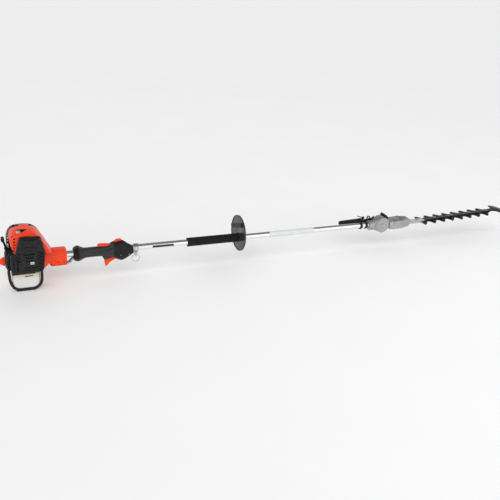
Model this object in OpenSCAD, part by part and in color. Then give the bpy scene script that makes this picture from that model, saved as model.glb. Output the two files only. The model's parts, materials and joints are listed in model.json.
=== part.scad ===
// Petrol pole hedge trimmer with an articulating cutter head.
// +X runs from the engine to the blade tip, +Y is the operator's left and +Z is up.
// The origin is the centre of the flat foot under the fuel tank guard.

/* [Pole] */
// Height of the pole axis above the foot
pole_z = 112; // [110:1:120]
// Outer diameter of the pole
tube_d = 25.4; // [25:0.1:26]
// Wall of the pole
tube_wall = 1.5; // [1:0.1:2]
// Start of the pole inside the clutch housing
tube_x0 = 108; // [104:1:112]
// Diameter of the drive shaft
shaft_d = 8; // [7:0.5:8]

/* [Engine] */
// X of the cylinder axis
cyl_x = 2; // [0:1:4]
// Bore of the cylinder
cyl_bore = 32; // [30:0.5:33]
// Number of cooling fins
fin_count = 7; // [4:1:7]
// Outer radius of the flywheel and fan
fan_r = 36; // [32:1:36]
// Number of fan blades
fan_blades = 16; // [8:1:20]
// Radius of the starter case
starter_r = 36; // [34:1:36]

/* [Fuel tank] */
// Length of the tank
tank_len = 100; // [90:1:102]
// Width of the tank
tank_wid = 100; // [90:1:104]
// Bar diameter of the tank guard
guard_bar = 8; // [6:0.5:9]

/* [Handles] */
// Diameter of the rear grip
grip_d = 39; // [36:1:40]
// Start of the rear handle
handle_x = 181; // [178:1:184]
// Start of the front grip
front_x = 638; // [620:1:650]
// Length of the front grip
front_len = 225; // [180:5:225]
// Radius of the hand guard
disc_r = 77; // [70:1:80]

/* [Head] */
// X of the head pivot
pivot_x = 1588; // [1588:1:1590]
// Radius of the pivot drum
drum_r = 36; // [35:0.5:36]
// Rise of the head above the pole line, in degrees
head_rise = 2.3; // [0:0.1:5]

/* [Blades] */
// Blade travel from one end to the other
stroke = 16; // [12:1:16]
// Distance from tooth to tooth
tooth_pitch = 54.2; // [50:0.1:54.2]
// Teeth on each side of a blade
tooth_count = 8; // [4:1:8]
// Distance from the blade centre line to the tooth tips
tooth_reach = 46; // [38:1:48]
// Thickness of a blade
blade_t = 2.5; // [2:0.1:2.5]

/* [Hidden] */
$fn = 64;
fit = 0.05;
orange = [0.93, 0.22, 0.07];
black = [0.11, 0.11, 0.12];
dark = [0.2, 0.2, 0.21];
silver = [0.74, 0.75, 0.76];
steel = [0.55, 0.56, 0.58];

// Frame helpers: everything on the engine and pole is drawn about the pole axis
module on_pole() {
  translate([0, 0, pole_z]) children();
}
module in_head() {
  translate([pivot_x, 0, pole_z]) rotate([0, -head_rise, 0]) translate([-pivot_x, 0, 0]) children();
}
module rod_x(x0, x1, d) {
  translate([x0, 0, 0]) rotate([0, 90, 0]) cylinder(h = x1 - x0, d = d);
}
module pipe_x(x0, x1, d, bore) {
  difference() {
    rod_x(x0, x1, d);
    rod_x(x0 - 1, x1 + 1, bore);
  }
}
module rod_y(y0, y1, d) {
  translate([0, y0, 0]) rotate([-90, 0, 0]) cylinder(h = y1 - y0, d = d);
}
module slab(x0, x1, y0, y1, z0, z1) {
  translate([x0, y0, z0]) cube([x1 - x0, y1 - y0, z1 - z0]);
}
// An outline in X and Z, drawn out along Y
module side_plate(y0, y1) {
  translate([0, y1, 0]) rotate([90, 0, 0]) linear_extrude(y1 - y0) children();
}
module round_rect(w, h, r) {
  square([w - 2 * r, h], center = true);
  square([w, h - 2 * r], center = true);
  for (x = [-1, 1], y = [-1, 1]) translate([x * (w / 2 - r), y * (h / 2 - r)]) circle(r);
}
// Points of an arc, for outlines
function arc(cx, cy, r, a0, a1, n = 8) = [
  for (i = [0:n]) [cx + r * cos(a0 + (a1 - a0) * i / n), cy + r * sin(a0 + (a1 - a0) * i / n)]
];
// A tube of radius r along the points of a route
function unit(v) = v / norm(v);
module route_tube(route, r, sides = 8) {
  last = len(route) - 1;
  tangents = [for (i = [0:last]) unit(route[min(i + 1, last)] - route[max(i - 1, 0)])];
  rings = [
    for (i = [0:last])
      let (t = tangents[i], u = unit(cross(t, [0.05, 1, 0.03])), v = cross(u, t))
        [for (k = [0:sides - 1]) route[i] + r * (cos(360 * k / sides) * u + sin(360 * k / sides) * v)]
  ];
  polyhedron(
    points = [for (ring = rings) each ring],
    faces = concat(
      [[for (k = [sides - 1:-1:0]) k]],
      [
        for (i = [0:last - 1], k = [0:sides - 1])
          let (a = i * sides + k, b = i * sides + (k + 1) % sides) [a, b, b + sides, a + sides]
      ],
      [[for (k = [0:sides - 1]) last * sides + k]]
    )
  );
}

// ---------------------------------------------------------------- engine core
case_r = 30;
seat_z = 30;
head_z = 86;
crank_throw = 14;
wrist_z = 54;
module crankcase() {
  color(silver) on_pole() difference() {
    union() {
      rod_x(cyl_x - 28, cyl_x + 28, 2 * case_r);
      slab(cyl_x - 26, cyl_x + 26, -25, 25, 0, seat_z);
      slab(cyl_x - 24, cyl_x + 24, -22, 22, -case_r - 2, 0);
    }
    rod_x(cyl_x - 18, cyl_x + 18, 50);
    rod_x(cyl_x - 29, cyl_x + 29, 28);
    translate([cyl_x, 0, 0]) cylinder(h = seat_z + 1, d = cyl_bore + 4);
  }
}
module bearings() {
  color(steel) on_pole() pipe_x(84.2, 92, 26, 12 + 2 * fit);
  color(steel) on_pole() for (s = [-1, 1]) {
    x = cyl_x + s * 23;
    pipe_x(x - 4.5, x + 4.5, 28, 23);
    pipe_x(x - 4.5, x + 4.5, 17, 12.1);
    for (k = [0:7]) rotate([45 * k, 0, 0]) translate([x, 0, 10]) sphere(d = 5.8, $fn = 24);
  }
}
module cylinder_block() {
  fin_pitch = 6.4;
  difference() {
    union() {
      cylinder(h = head_z - seat_z, d = 42);
      for (i = [0:fin_count - 1]) translate([0, 0, 8 + i * fin_pitch]) linear_extrude(1.8) round_rect(62, 58, 8);
      linear_extrude(4) round_rect(50, 48, 5);
      translate([0, 0, 22]) rod_y(20, 33, 26);
      translate([0, 0, 18]) rod_y(-33, -20, 27);
    }
    translate([0, 0, -1]) cylinder(h = head_z - seat_z - 9, d = cyl_bore);
    translate([0, 0, 40]) cylinder(h = 20, d = 10.1);
    translate([0, 0, 22]) rod_y(10, 34, 14);
    translate([0, 0, 18]) rod_y(-34, -10, 17);
  }
}
module cylinder_node() {
  color(silver) on_pole() translate([cyl_x, 0, seat_z]) cylinder_block();
}
module piston() {
  color(silver) on_pole() translate([cyl_x, 0, 0]) {
    difference() {
      translate([0, 0, wrist_z - 12]) cylinder(h = 24, d = cyl_bore - 2 * fit);
      translate([0, 0, wrist_z - 13]) cylinder(h = 19, d = 25);
      translate([0, 0, wrist_z]) rod_x(-20, 20, 8);
    }
    translate([0, 0, wrist_z]) rod_x(-15, 15, 7.9);
  }
}
module connecting_rod() {
  color(steel) on_pole() translate([cyl_x, 0, 0]) difference() {
    union() {
      translate([0, 0, crank_throw]) rod_x(-4, 4, 17);
      translate([0, 0, wrist_z]) rod_x(-4, 4, 12);
      slab(-2.5, 2.5, -4, 4, crank_throw + 4, wrist_z - 3);
    }
    translate([0, 0, crank_throw]) rod_x(-5, 5, 10.1);
    translate([0, 0, wrist_z]) rod_x(-5, 5, 8.1);
  }
}
module crankshaft() {
  color(steel) on_pole() {
    rod_x(-56, cyl_x - 5, 12);
    rod_x(cyl_x + 5, 57, 12);
    for (s = [0, 1]) {
      x = cyl_x + (s == 0 ? -12 : 5);
      difference() {
        rod_x(x, x + 7, 44);
        slab(x - 1, x + 8, -30, -15, -2, 30);
        slab(x - 1, x + 8, 15, 30, -2, 30);
      }
    }
    translate([0, 0, crank_throw]) rod_x(cyl_x - 5, cyl_x + 5, 10);
  }
}
module flywheel() {
  color(silver) on_pole() difference() {
    union() {
      rod_x(38, 42, 2 * fan_r - 6);
      rod_x(38, 52, 26);
      for (k = [0:fan_blades - 1]) {
        rotate([360 * k / fan_blades, 0, 0]) slab(41.5, 53, -1, 1, 20, fan_r - 3.01);
      }
    }
    rod_x(37, 53, 12.1);
    translate([0, 0, -25]) rod_x(37, 43, 12);
  }
}
module clutch_shoes() {
  color(dark) on_pole() difference() {
    union() {
      for (s = [0, 180]) rotate([s, 0, 0]) intersection() {
        pipe_x(60, 72, 47, 18);
        slab(59, 73, -40, 40, 2, 40);
      }
      pipe_x(57.5, 74, 17, 12.1);
    }
    for (s = [-1, 1]) translate([0, s * 16, 0]) rod_x(65, 67, 5);
  }
}
module spark_plug() {
  color("white") on_pole() translate([cyl_x, 0, head_z - 9]) {
    cylinder(h = 9, d = 10);
    translate([0, 0, 9]) cylinder(h = 6, d = 16, $fn = 6);
    translate([0, 0, 15]) cylinder(h = 14, d = 8);
    translate([0, 0, -3]) cylinder(h = 3, d = 2.5);
  }
}
module plug_boot() {
  color(black) on_pole() translate([cyl_x, 0, head_z + 8]) difference() {
    union() {
      cylinder(h = 24, d = 15);
      translate([0, 0, 17]) rod_y(0, 24, 9);
    }
    translate([0, 0, -1]) cylinder(h = 14, d = 8.1);
  }
}
module ignition_coil() {
  color(dark) on_pole() {
    slab(39, 52, -14, 14, 36.6, 42);
    slab(38, 53, -10, 10, 42, 58);
    slab(41, 50, -4, 4, 58, 66);
  }
}

// ------------------------------------------------------------- starter
starter_x0 = -64;
starter_x1 = -31;
case_lugs = [50, 140, 230, 320];
rope_base = [-54, 20, 32];
rope_dir = [-0.26, 0, 0.966];
rope_lean = -atan(0.26 / 0.966);
module along_rope() {
  translate(rope_base) rotate([0, rope_lean, 0]) children();
}
module starter_housing() {
  color(black) on_pole() difference() {
    union() {
      rod_x(starter_x0 + 5, starter_x1, 2 * starter_r);
      translate([starter_x0 + 5, 0, 0]) rotate([0, -90, 0]) cylinder(h = 5, r1 = starter_r, r2 = starter_r - 6);
      along_rope() translate([0, 0, -9]) cylinder(h = 18, d = 15);
      for (a = case_lugs) rotate([a, 0, 0]) translate([0, 0, starter_r + 2]) rod_x(starter_x1 - 10, starter_x1 - 0.6, 9);
    }
    rod_x(starter_x0 + 3, starter_x1 + 1, 2 * starter_r - 6);
    for (k = [0:17]) rotate([20 * k, 0, 0]) slab(starter_x0 - 1, starter_x0 + 8, -1.4, 1.4, 14, 25);
    along_rope() translate([0, 0, -9]) cylinder(h = 20, d = 4.6);
    for (a = case_lugs) rotate([a, 0, 0]) translate([0, 0, starter_r + 2.4]) rod_x(starter_x1 - 11, starter_x1 + 1, 4.2);
  }
}
module recoil_pulley() {
  color(dark) on_pole() difference() {
    union() {
      rod_x(-50, -48.5, 52);
      rod_x(-48.5, -43.5, 44);
      rod_x(-43.5, -42, 52);
      rod_x(-42, -35, 20);
    }
    rod_x(-51, -34, 12.1);
  }
}
module starter_grip() {
  color(black) on_pole() along_rope() translate([0, 0, 9.6]) {
    difference() {
      union() {
        cylinder(h = 10, d1 = 9, d2 = 8);
        translate([0, 0, 10]) cylinder(h = 20, d = 9);
        translate([0, 0, 34]) rod_y(-17, 17, 12);
      }
      translate([0, 0, -1]) cylinder(h = 28, d = 3.9);
    }
  }
}
module starter_rope() {
  color("gray") on_pole() along_rope() translate([0, 0, 1]) cylinder(h = 35, d = 3.5);
}

// ------------------------------------------------------------- covers
cover_out = concat(
  [[-31, 40], [-42, 84], [-41, 104]],
  arc(-24, 108, 17, 160, 100, 4),
  [[5, 128], [38, 124]],
  arc(42, 104, 19, 80, 30, 4),
  [[78, 72], [88, 46]]
);
cover_in = concat(
  [[85, 46], [75, 71]],
  arc(41, 103, 16.5, 30, 80, 4),
  [[38, 121], [5, 125]],
  arc(-24, 107, 15, 100, 160, 4),
  [[-38, 104], [-39, 84], [-28, 40]]
);
module engine_cover() {
  color(orange) on_pole() difference() {
    union() {
      side_plate(-58, 22) polygon(concat(cover_out, cover_in));
      side_plate(-58, -55) polygon(concat(cover_out, [[63, 46], [50, 96], [-4, 96], [-18, 84], [-20, 40]]));
      slab(-14, 20, 22, 44, 128.5, 132);
      slab(-14, 20, 18, 22, 124, 132);
    }
    for (k = [0:4]) translate([0, 0, 52 + 12 * k]) slab(-50, -20, -40, -32, 0, 6);
    for (k = [0:3]) translate([8 * k - 30, 0, 0]) slab(0, 4, -44, -14, 110, 140);
  }
}
module side_shroud() {
  out = concat(
    [[-53, 44], [-51, 70]],
    arc(-26, 102, 24, 165, 100, 5),
    [[-4, 127.5], [38, 121]],
    arc(44, 98, 17, 75, 30, 4),
    [[76, 70], [84, 48]]
  );
  inn = concat(
    [[81, 48], [73, 69]],
    arc(43, 97, 15, 30, 75, 4),
    [[38, 118], [-4, 124.5]],
    arc(-26, 101, 21.5, 100, 165, 5),
    [[-48, 70], [-50, 44]]
  );
  color(black) on_pole() difference() {
    union() {
      side_plate(22.3, 60) polygon(concat(out, inn));
      side_plate(57, 60) polygon(out);
    }
    for (k = [0:5], y = [30, 42]) translate([0, y, 49 + 10 * k]) slab(-60, -40, 0, 7, 0, 6);
    side_plate(56, 61) translate([2, 60]) square([52, 44], center = true);
  }
}
module engine_base() {
  color(black) on_pole() difference() {
    union() {
      slab(-46, 35, -52, 22, -41.3, -37);
      slab(-18, 35, 21, 50, -41.3, -37);
      slab(-46, 35, -54, -52, -41.3, -30);
      slab(cyl_x - 22, cyl_x + 22, -20, 20, -37, -case_r - 2);
    }
    for (x = [-14, 18], y = [-13, 13]) translate([x, y, -42]) cylinder(h = 12, d = 5.2);
    translate([28, 38, -42]) cylinder(h = 6, d = 6);
  }
}
fan_case_r = fan_r + 4.8;
collar_screw_x = [122, 146];
module clutch_housing() {
  color(orange) on_pole() difference() {
    union() {
      rod_x(36, 70, 2 * fan_case_r);
      translate([70, 0, 0]) rotate([0, 90, 0]) cylinder(h = 14, r1 = fan_case_r, r2 = 38);
      translate([84, 0, 0]) rotate([0, 90, 0]) cylinder(h = 17, r1 = 38, r2 = 26);
      rod_x(101, 155, 52);
      slab(96, 155, -17, 17, -39, 0);
    }
    rod_x(35, 56, 2 * fan_case_r - 5);
    rod_x(55.9, 80, 60);
    rod_x(79, 94.5, 26);
    rod_x(94, 108.5, 18);
    rod_x(108, 156, tube_d);
    slab(126, 156, -0.8, 0.8, -45, 0);
    for (x = collar_screw_x) translate([x, 0, -20]) {
      rod_y(-18, 20, 5.2);
      rod_y(-30, -16.5, 10);
    }
    translate([0, -8, -32]) rod_x(100, 156, 6);
    slab(37, 55, -16, 16, 30, 45);
    for (k = [0:6]) rotate([150 + 10 * k, 0, 0]) slab(42, 54, -1.5, 1.5, fan_r, fan_r + 9);
  }
}
// ------------------------------------------------------------- exhaust side
module muffler() {
  color(steel) on_pole() difference() {
    union() {
      slab(-16, 36, -66, -36, 14, 70);
      translate([cyl_x, 0, 48]) rod_y(-36, -33.1, 24);
      translate([30, 0, 22]) rod_y(-72, -66, 12);
    }
    slab(-14, 34, -64, -38, 16, 68);
    translate([cyl_x, 0, 48]) rod_y(-39, -33, 17);
    translate([30, 0, 22]) rod_y(-73, -63, 8);
  }
}
muffler_outline = [
  [-47, -25], [56, -29], [67, -19], [74, 48], [61, 112], [-12, 114], [-23, 94], [-31, 52], [-47, 42]
];
module muffler_cover() {
  color(black) on_pole() difference() {
    union() {
      side_plate(-76, -73) polygon(muffler_outline);
      difference() {
        side_plate(-73, -58.3) polygon(muffler_outline);
        side_plate(-74, -57) polygon([
          [-44, -22], [55, -26], [64, -18], [71, 48], [59, 109], [-10.5, 111], [-20, 94], [-28, 49], [-44, 39]
        ]);
      }
      side_plate(-80, -76) polygon([[-12, 52], [46, 54], [50, 80], [40, 104], [-4, 104], [-14, 84]]);
    }
    for (k = [0:3]) slab(0, 38, -82, -72, 2 + 11 * k, 8 + 11 * k);
    for (k = [0:5]) translate([62, 0, -8 + 11 * k]) rotate([0, -30, 0]) slab(-8, 8, -82, -72, 0, 4);
    for (k = [0:2]) translate([-20, 0, 18 + 13 * k]) rotate([0, 30, 0]) slab(-9, 9, -82, -72, 0, 4);
    slab(-4, 44, -82, -72, -14, -9);
    slab(-32, -25, -82, -72, -14, 22);
    slab(24, 36, -82, -72, 12, 26);
  }
}

// ------------------------------------------------------------- intake side
choke_pin = [-19, 46, 62];
primer_at = [30, 48, 22];
module carburetor() {
  color(silver) on_pole() difference() {
    union() {
      translate([cyl_x, 0, 52]) rod_y(33.2, 38, 30);
      slab(-16, 20, 38, 54, 36, 68);
      translate([cyl_x, 0, 0]) slab(-8, 8, 40, 52, 28, 36);
      slab(15, 42, 41.5, 48, 10, 34);
      slab(15, 20, 41.5, 48, 30, 40);
    }
    translate(primer_at) rod_y(-4.8, 1, 18.6);
    translate([cyl_x, 0, 52]) rod_y(30, 56, 14);
    translate(choke_pin) rod_x(0, 9, 4.1);
  }
}
module air_filter() {
  color([0.85, 0.8, 0.6]) on_pole() slab(-20, 26, 62.5, 70, 32, 80);
}
module air_cleaner_cover() {
  color(black) on_pole() difference() {
    side_plate(60.3, 78) polygon(concat(
      arc(-20, 34, 10, 180, 270, 4), arc(30, 34, 10, 270, 360, 4),
      arc(26, 84, 14, 0, 90, 4), arc(-18, 86, 12, 90, 180, 4)
    ));
    slab(-26, 36, 59, 74, 30, 92);
    for (k = [0:5]) slab(-14 + 8 * k, -10 + 8 * k, 72, 80, 40, 62);
  }
}
module choke_lever() {
  color(orange) on_pole() translate(choke_pin) {
    rod_x(0.2, 5, 4);
    rod_x(-2.5, 0.2, 10);
    slab(-2.5, 0, -2.5, 2.5, 3, 16);
  }
}
module primer_bulb() {
  color([0.85, 0.85, 0.8]) on_pole() translate(primer_at) {
    difference() {
      rotate([-90, 0, 0]) cylinder(h = 8, d = 18);
      translate([0, -1, 0]) rotate([-90, 0, 0]) cylinder(h = 7, d = 15);
    }
    rotate([-90, 0, 0]) translate([0, 0, 8]) cylinder(h = 3, r1 = 9, r2 = 5);
  }
}

// ------------------------------------------------------------- fuel system
tank_x = 3;
tank_top = -41.5;
tank_bot = -105;
cap_y = 46;
cap_z = -28;
module tank_shape(inset) {
  hull() {
    for (x = [-1, 1], y = [-1, 1]) {
      translate([tank_x + x * (tank_len / 2 - 20), y * (tank_wid / 2 - 18), tank_bot + 14]) sphere(r = 14 - inset, $fn = 32);
      translate([tank_x + x * (tank_len / 2 - 14), y * (tank_wid / 2 - 14), tank_top - 8]) {
        cylinder(h = 8 - inset, r = 14 - inset, $fn = 32);
      }
    }
  }
}
module fuel_tank() {
  color([0.93, 0.92, 0.88]) on_pole() difference() {
    union() {
      tank_shape(0);
      hull() {
        translate([0, cap_y, cap_z]) rod_x(-62, -47, 31);
        translate([-38, 36, -58]) sphere(r = 11, $fn = 32);
      }
      translate([0, cap_y, cap_z]) rod_x(-68, -61, 27);
    }
    difference() {
      tank_shape(2.5);
      slab(-60, 70, -60, 60, tank_top - 2.5, tank_top + 1);
    }
    translate([0, cap_y, cap_z]) rod_x(-70, -50, 22);
    translate([28, 38, tank_top - 4]) cylinder(h = 6, d = 5.1);
  }
}
module fuel_line() {
  color("gray") on_pole() {
    route_tube([
      [28, 38, -48], [28, 38, -38], [28, 38, -30], [28, 38.5, -20], [26, 40, -10], [21, 43, -3],
      [12, 45, 3], [6, 46, 8], [cyl_x + 1, 46, 14], [cyl_x, 46, 21], [cyl_x, 46, 28]
    ], 2.5, 10);
  }
}
module fuel_cap() {
  color(orange) on_pole() translate([0, cap_y, cap_z]) {
    difference() {
      union() {
        rod_x(-79, -63, 35);
        rod_x(-83, -79, 22);
        slab(-90, -79, -3, 3, -14, 14);
      }
      rod_x(-75, -62, 28);
      for (k = [0:11]) rotate([30 * k, 0, 0]) translate([0, 0, 18.5]) rod_x(-80, -62, 4);
    }
    rod_x(-75, -66, 21.6);
  }
}
module guard_loop(y, left_top) {
  low = -pole_z + guard_bar / 2 + 0.5;
  bend = 28;
  left = -53;
  right = 59;
  translate([0, y, 0]) {
    translate([left, 0, low + bend]) cylinder(h = left_top - low - bend, d = guard_bar);
    translate([right, 0, low + bend]) cylinder(h = -38 - low - bend, d = guard_bar);
    translate([0, 0, low]) rod_x(left + bend, right - bend, guard_bar);
    translate([left + bend, 0, low + bend]) rotate([90, 0, 0]) rotate([0, 0, 180]) {
      rotate_extrude(angle = 90) translate([bend, 0]) circle(d = guard_bar);
    }
    translate([right - bend, 0, low + bend]) rotate([90, 0, 0]) rotate([0, 0, 270]) {
      rotate_extrude(angle = 90) translate([bend, 0]) circle(d = guard_bar);
    }
  }
}
module tank_guard() {
  color(black) on_pole() {
    guard_loop(-46, -30);
    guard_loop(46, -72);
    slab(-34, 34, -50, 50, -pole_z, -pole_z + 5);
    translate([-53, 0, -78]) rod_y(-46, 46, 7);
    translate([59, 0, -46]) rod_y(-46, 46, 7);
    slab(-57, -49, -50, -42, -44, -12);
  }
}

// ------------------------------------------------------------- drive line
module clutch_drum() {
  color(steel) on_pole() {
    difference() {
      rod_x(58, 77, 56);
      rod_x(57, 74.5, 49.2);
    }
    difference() {
      rod_x(77, 104, 12);
      rod_x(92, 105, shaft_d + 2 * fit);
    }
  }
}
shaft_end = 1566;
// A bevel gear along X that narrows from radius r0 at x0 to r1 at x1
module bevel_gear(x0, x1, r0, r1, count) {
  slant = norm([x1 - x0, r0 - r1]);
  difference() {
    translate([x0, 0, 0]) rotate([0, 90, 0]) cylinder(h = x1 - x0, r1 = r0, r2 = r1);
    for (k = [0:count - 1]) rotate([360 * k / count, 0, 0]) translate([x0, 0, r0]) {
      rotate([0, atan((r0 - r1) / (x1 - x0)), 0]) translate([-3, -1, -1.6]) cube([slant + 5, 2, 4]);
    }
  }
}
module drive_shaft() {
  color(steel) on_pole() {
    rod_x(93, shaft_end, shaft_d);
    bevel_gear(shaft_end - 0.01, shaft_end + 10, 14, 7.6, 12);
  }
}
tube_x1 = 1546;
bush_at = [200, 560, 900, 1200, 1480];
module shaft_bushes() {
  color(black) on_pole() for (x = bush_at) {
    pipe_x(x - 15, x + 15, tube_d - 2 * tube_wall, shaft_d + 2 * fit);
  }
}
module outer_tube() {
  color(silver) on_pole() pipe_x(tube_x0, tube_x1, tube_d, tube_d - 2 * tube_wall);
}

// ------------------------------------------------------------- rear handle
handle_end = 412;
trigger_pin = [338, 0, -27];
lock_pin = [326, 0, 19];
// Each handle screw: its X and the Y of its head's underside
handle_screw = [[212, -20], [362, -14], [394, -12]];
module handle_body() {
  difference() {
    union() {
      translate([0, 0, -2]) rod_x(handle_x + 20, 320, grip_d);
      hull() {
        translate([0, 0, -6]) rod_x(handle_x, handle_x + 2, 50);
        translate([0, 0, -7]) rod_x(handle_x + 12, handle_x + 28, 62);
      }
      hull() {
        translate([0, 0, -7]) rod_x(handle_x + 28, handle_x + 29, 62);
        translate([0, 0, -2]) rod_x(handle_x + 38, handle_x + 44, grip_d);
      }
      hull() {
        translate([0, 0, -2]) rod_x(296, 298, grip_d);
        translate([352, 0, 24]) rod_y(-15, 15, 34);
        translate([378, 0, -30]) rod_y(-15, 15, 44);
        translate([376, 0, 0]) rod_y(-24, 24, 56);
        translate([350, 0, 0]) rod_y(-23, 23, 40);
        translate([0, 0, -6]) rod_x(404, handle_end, 38);
      }
      hull() {
        translate([306, 0, -34]) rod_y(-9, 9, 16);
        translate([292, 0, -24]) rod_y(-9, 9, 16);
        translate([350, 0, -24]) rod_y(-12, 12, 20);
      }
    }
    rod_x(handle_x - 1, handle_end + 1, tube_d);
    slab(290, 352, -5.5, 5.5, -60, -14.5);
    slab(268, 334, -6.5, 6.5, 13.2, 40);
    slab(337, 372, -7, 7, 24, 60);
    for (p = handle_screw) translate([p[0], 0, -20]) {
      rod_y(p[1] - 0.5, 10, 3.1);
      rod_y(-45, p[1], 7);
    }
    translate(trigger_pin) rod_y(-10, 10, 5 + 2 * fit);
    translate(lock_pin) rod_y(-10, 10, 4 + 2 * fit);
    route_slot();
  }
}
module route_slot() {
  translate([0, -7, -16]) rod_x(handle_x - 1, 300, 5.6);
}
module handle_left() {
  color(black) on_pole() intersection() {
    handle_body();
    slab(handle_x - 5, handle_end + 5, 0.1, 60, -100, 100);
  }
}
module handle_right() {
  color(black) on_pole() intersection() {
    handle_body();
    slab(handle_x - 5, handle_end + 5, -60, -0.1, -100, 100);
  }
}
// The handle's screws and the two that clamp the collar on the pole
module screws() {
  color(steel) on_pole() {
    for (p = handle_screw) translate([p[0], 0, -20]) {
      rod_y(p[1], 9, 3);
      rod_y(p[1] - 3, p[1], 6.5);
    }
    for (x = collar_screw_x) translate([x, 0, -20]) {
      rod_y(-16.5, 16, 5);
      rod_y(-20.5, -16.5, 9);
    }
  }
}
module trigger() {
  color(orange) on_pole() difference() {
    union() {
      translate(trigger_pin) rod_y(-4.8, 4.8, 11);
      side_plate(-4.8, 4.8) polygon(concat(
        [[341, -32], [330, -34], [318, -42]],
        [[311, -54], [307, -67], [303, -67], [300, -52], [299, -44]],
        [[306, -30], [334, -22]]
      ));
    }
    translate(trigger_pin) rod_y(-6, 6, 5.2);
  }
  color(steel) on_pole() translate(trigger_pin) rod_y(-9.5, 9.5, 5);
}
module lockout_lever() {
  color(orange) on_pole() {
    translate(lock_pin) rod_y(-5.8, 5.8, 7);
    translate(lock_pin) rod_y(-9.5, 9.5, 4);
    side_plate(-5.8, 5.8) polygon([
      [328, 22], [318, 26], [306, 28], [284, 29.5], [275, 27], [273, 21], [276, 20.3], [284, 20.5], [306, 19], [322, 16]
    ]);
  }
}
module stop_switch() {
  color(orange) on_pole() difference() {
    side_plate(-6.6, 6.6) polygon([
      [339, 27], [366, 27], [366, 45], [360, 48], [350, 46.5], [344, 48], [339, 42]
    ]);
    for (k = [0:2]) slab(345 + 5 * k, 347 + 5 * k, -8, 8, 46.4, 50);
  }
}
cable_route = [
  [104, -8, -32], [124, -8, -32], [144, -8, -32], [154, -8, -32], [160, -8, -32], [164, -8, -31],
  [168, -8, -28], [171, -7.5, -24], [174, -7, -20], [178, -7, -17], [183, -7, -16], [196, -7, -16],
  [220, -7, -16], [250, -7, -16], [284, -7, -16]
];
sleeve_route = [for (i = [4:9]) cable_route[i]];
module throttle_cable() {
  color(black) on_pole() route_tube(cable_route, 2.5, 10);
  color(black) on_pole() route_tube(sleeve_route, 4.2, 10);
}

// ------------------------------------------------------------- things clamped on the pole
hanger_x = 424;
ring_eye = -29;
ring_r = 15.5;
ring_wire = 2.6;
module hanger_clamp() {
  color(silver) on_pole() difference() {
    union() {
      rod_x(hanger_x - 9, hanger_x + 9, 32);
      slab(hanger_x - 9, hanger_x + 9, -3, 3, -27, 0);
      slab(hanger_x - 3, hanger_x + 3, -7, 7, -37, -14);
      translate([hanger_x, 0, -19]) rod_y(-8, 8, 11);
    }
    rod_x(hanger_x - 10, hanger_x + 10, tube_d);
    translate([0, 0, ring_eye]) rod_x(hanger_x - 5, hanger_x + 5, 7);
    slab(hanger_x - 10, hanger_x - 3.01, -0.5, 0.5, -28, -10);
    slab(hanger_x + 3.01, hanger_x + 10, -0.5, 0.5, -28, -10);
  }
}
module hanger_ring() {
  color(steel) on_pole() translate([hanger_x, 0, ring_eye - 1.8 - ring_r]) rotate([90, 0, 0]) {
    rotate_extrude() translate([ring_r, 0]) circle(d = ring_wire, $fn = 24);
  }
}
module front_grip() {
  rib_pitch = 9;
  ribs = floor((front_len - 20) / rib_pitch);
  color(black) on_pole() difference() {
    union() {
      rod_x(front_x, front_x + front_len, 34);
      rod_x(front_x, front_x + 5, 39);
      for (i = [0:ribs - 1]) rod_x(front_x + 10 + i * rib_pitch, front_x + 15 + i * rib_pitch, 37);
    }
    rod_x(front_x - 1, front_x + front_len + 1, tube_d);
  }
}
disc_x = 865;
disc_z = 20.7;
module hand_guard() {
  color(dark) on_pole() difference() {
    union() {
      translate([0, 0, disc_z]) {
        rod_x(disc_x, disc_x + 3, 2 * disc_r);
        pipe_x(disc_x - 2.5, disc_x + 4, 2 * disc_r, 2 * disc_r - 5);
      }
      rod_x(disc_x, disc_x + 28, 36);
      for (k = [0:7]) rotate([45 * k, 0, 0]) slab(disc_x + 3, disc_x + 24, -2, 2, 15, 21);
      slab(disc_x - 13, disc_x - 10, -44, 44, 46, 74);
      for (y = [-44, 40]) slab(disc_x - 13, disc_x, y, y + 4, 46, 74);
    }
    rod_x(disc_x - 1, disc_x + 29, tube_d);
    for (s = [-1, 1]) translate([disc_x + 16, s * 15.4, -20]) cylinder(h = 10, d = 3.2);
  }
}
module tube_bands() {
  color("white") on_pole() {
    pipe_x(490, 578, tube_d + 0.5, tube_d);
    pipe_x(1010, 1228, tube_d + 0.5, tube_d);
    pipe_x(1472, 1484, tube_d + 5, tube_d);
    pipe_x(1500, 1512, tube_d + 5, tube_d);
  }
}

// ------------------------------------------------------------- articulating head
module at_pivot() {
  translate([pivot_x, 0, 0]) children();
}
module pie(a0, a1, r) {
  polygon(concat([[0, 0]], [for (i = [0:6]) let (a = a0 + (a1 - a0) * i / 6) [r * cos(a), r * sin(a)]]));
}
bolt_d = 10;
module upper_gearcase() {
  color(silver) on_pole() {
    difference() {
      union() {
        rod_x(1520, 1549, 38);
        at_pivot() rod_y(-24, -0.2, 2 * drum_r);
        side_plate(-19, -0.2) polygon([[1540, -19], [1570, -30], [1570, 30], [1540, 19]]);
        for (x = [1526, 1541]) translate([x, 0, -20]) rod_y(-11, 11, 10);
      }
      rod_x(1519, tube_x1 + 0.1, tube_d);
      rod_x(1545, 1562, 12);
      at_pivot() rod_y(-19, 1, 2 * drum_r - 10);
      at_pivot() side_plate(-6, 1) pie(-105, 60, 60);
      slab(1519, 1547, -0.8, 0.8, -30, 0);
      for (x = [1526, 1541]) translate([x, 0, -20]) rod_y(-12, 12, 4.2);
    }
    at_pivot() difference() {
      rod_y(-27, -19.01, 20);
      for (k = [0:5]) rotate([0, 60 * k, 0]) translate([11, -28, 0]) rotate([-90, 0, 0]) cylinder(h = 3, d = 5);
    }
    at_pivot() rod_y(-19.01, 27.5, bolt_d);
  }
}
quad_r = 42;
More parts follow.
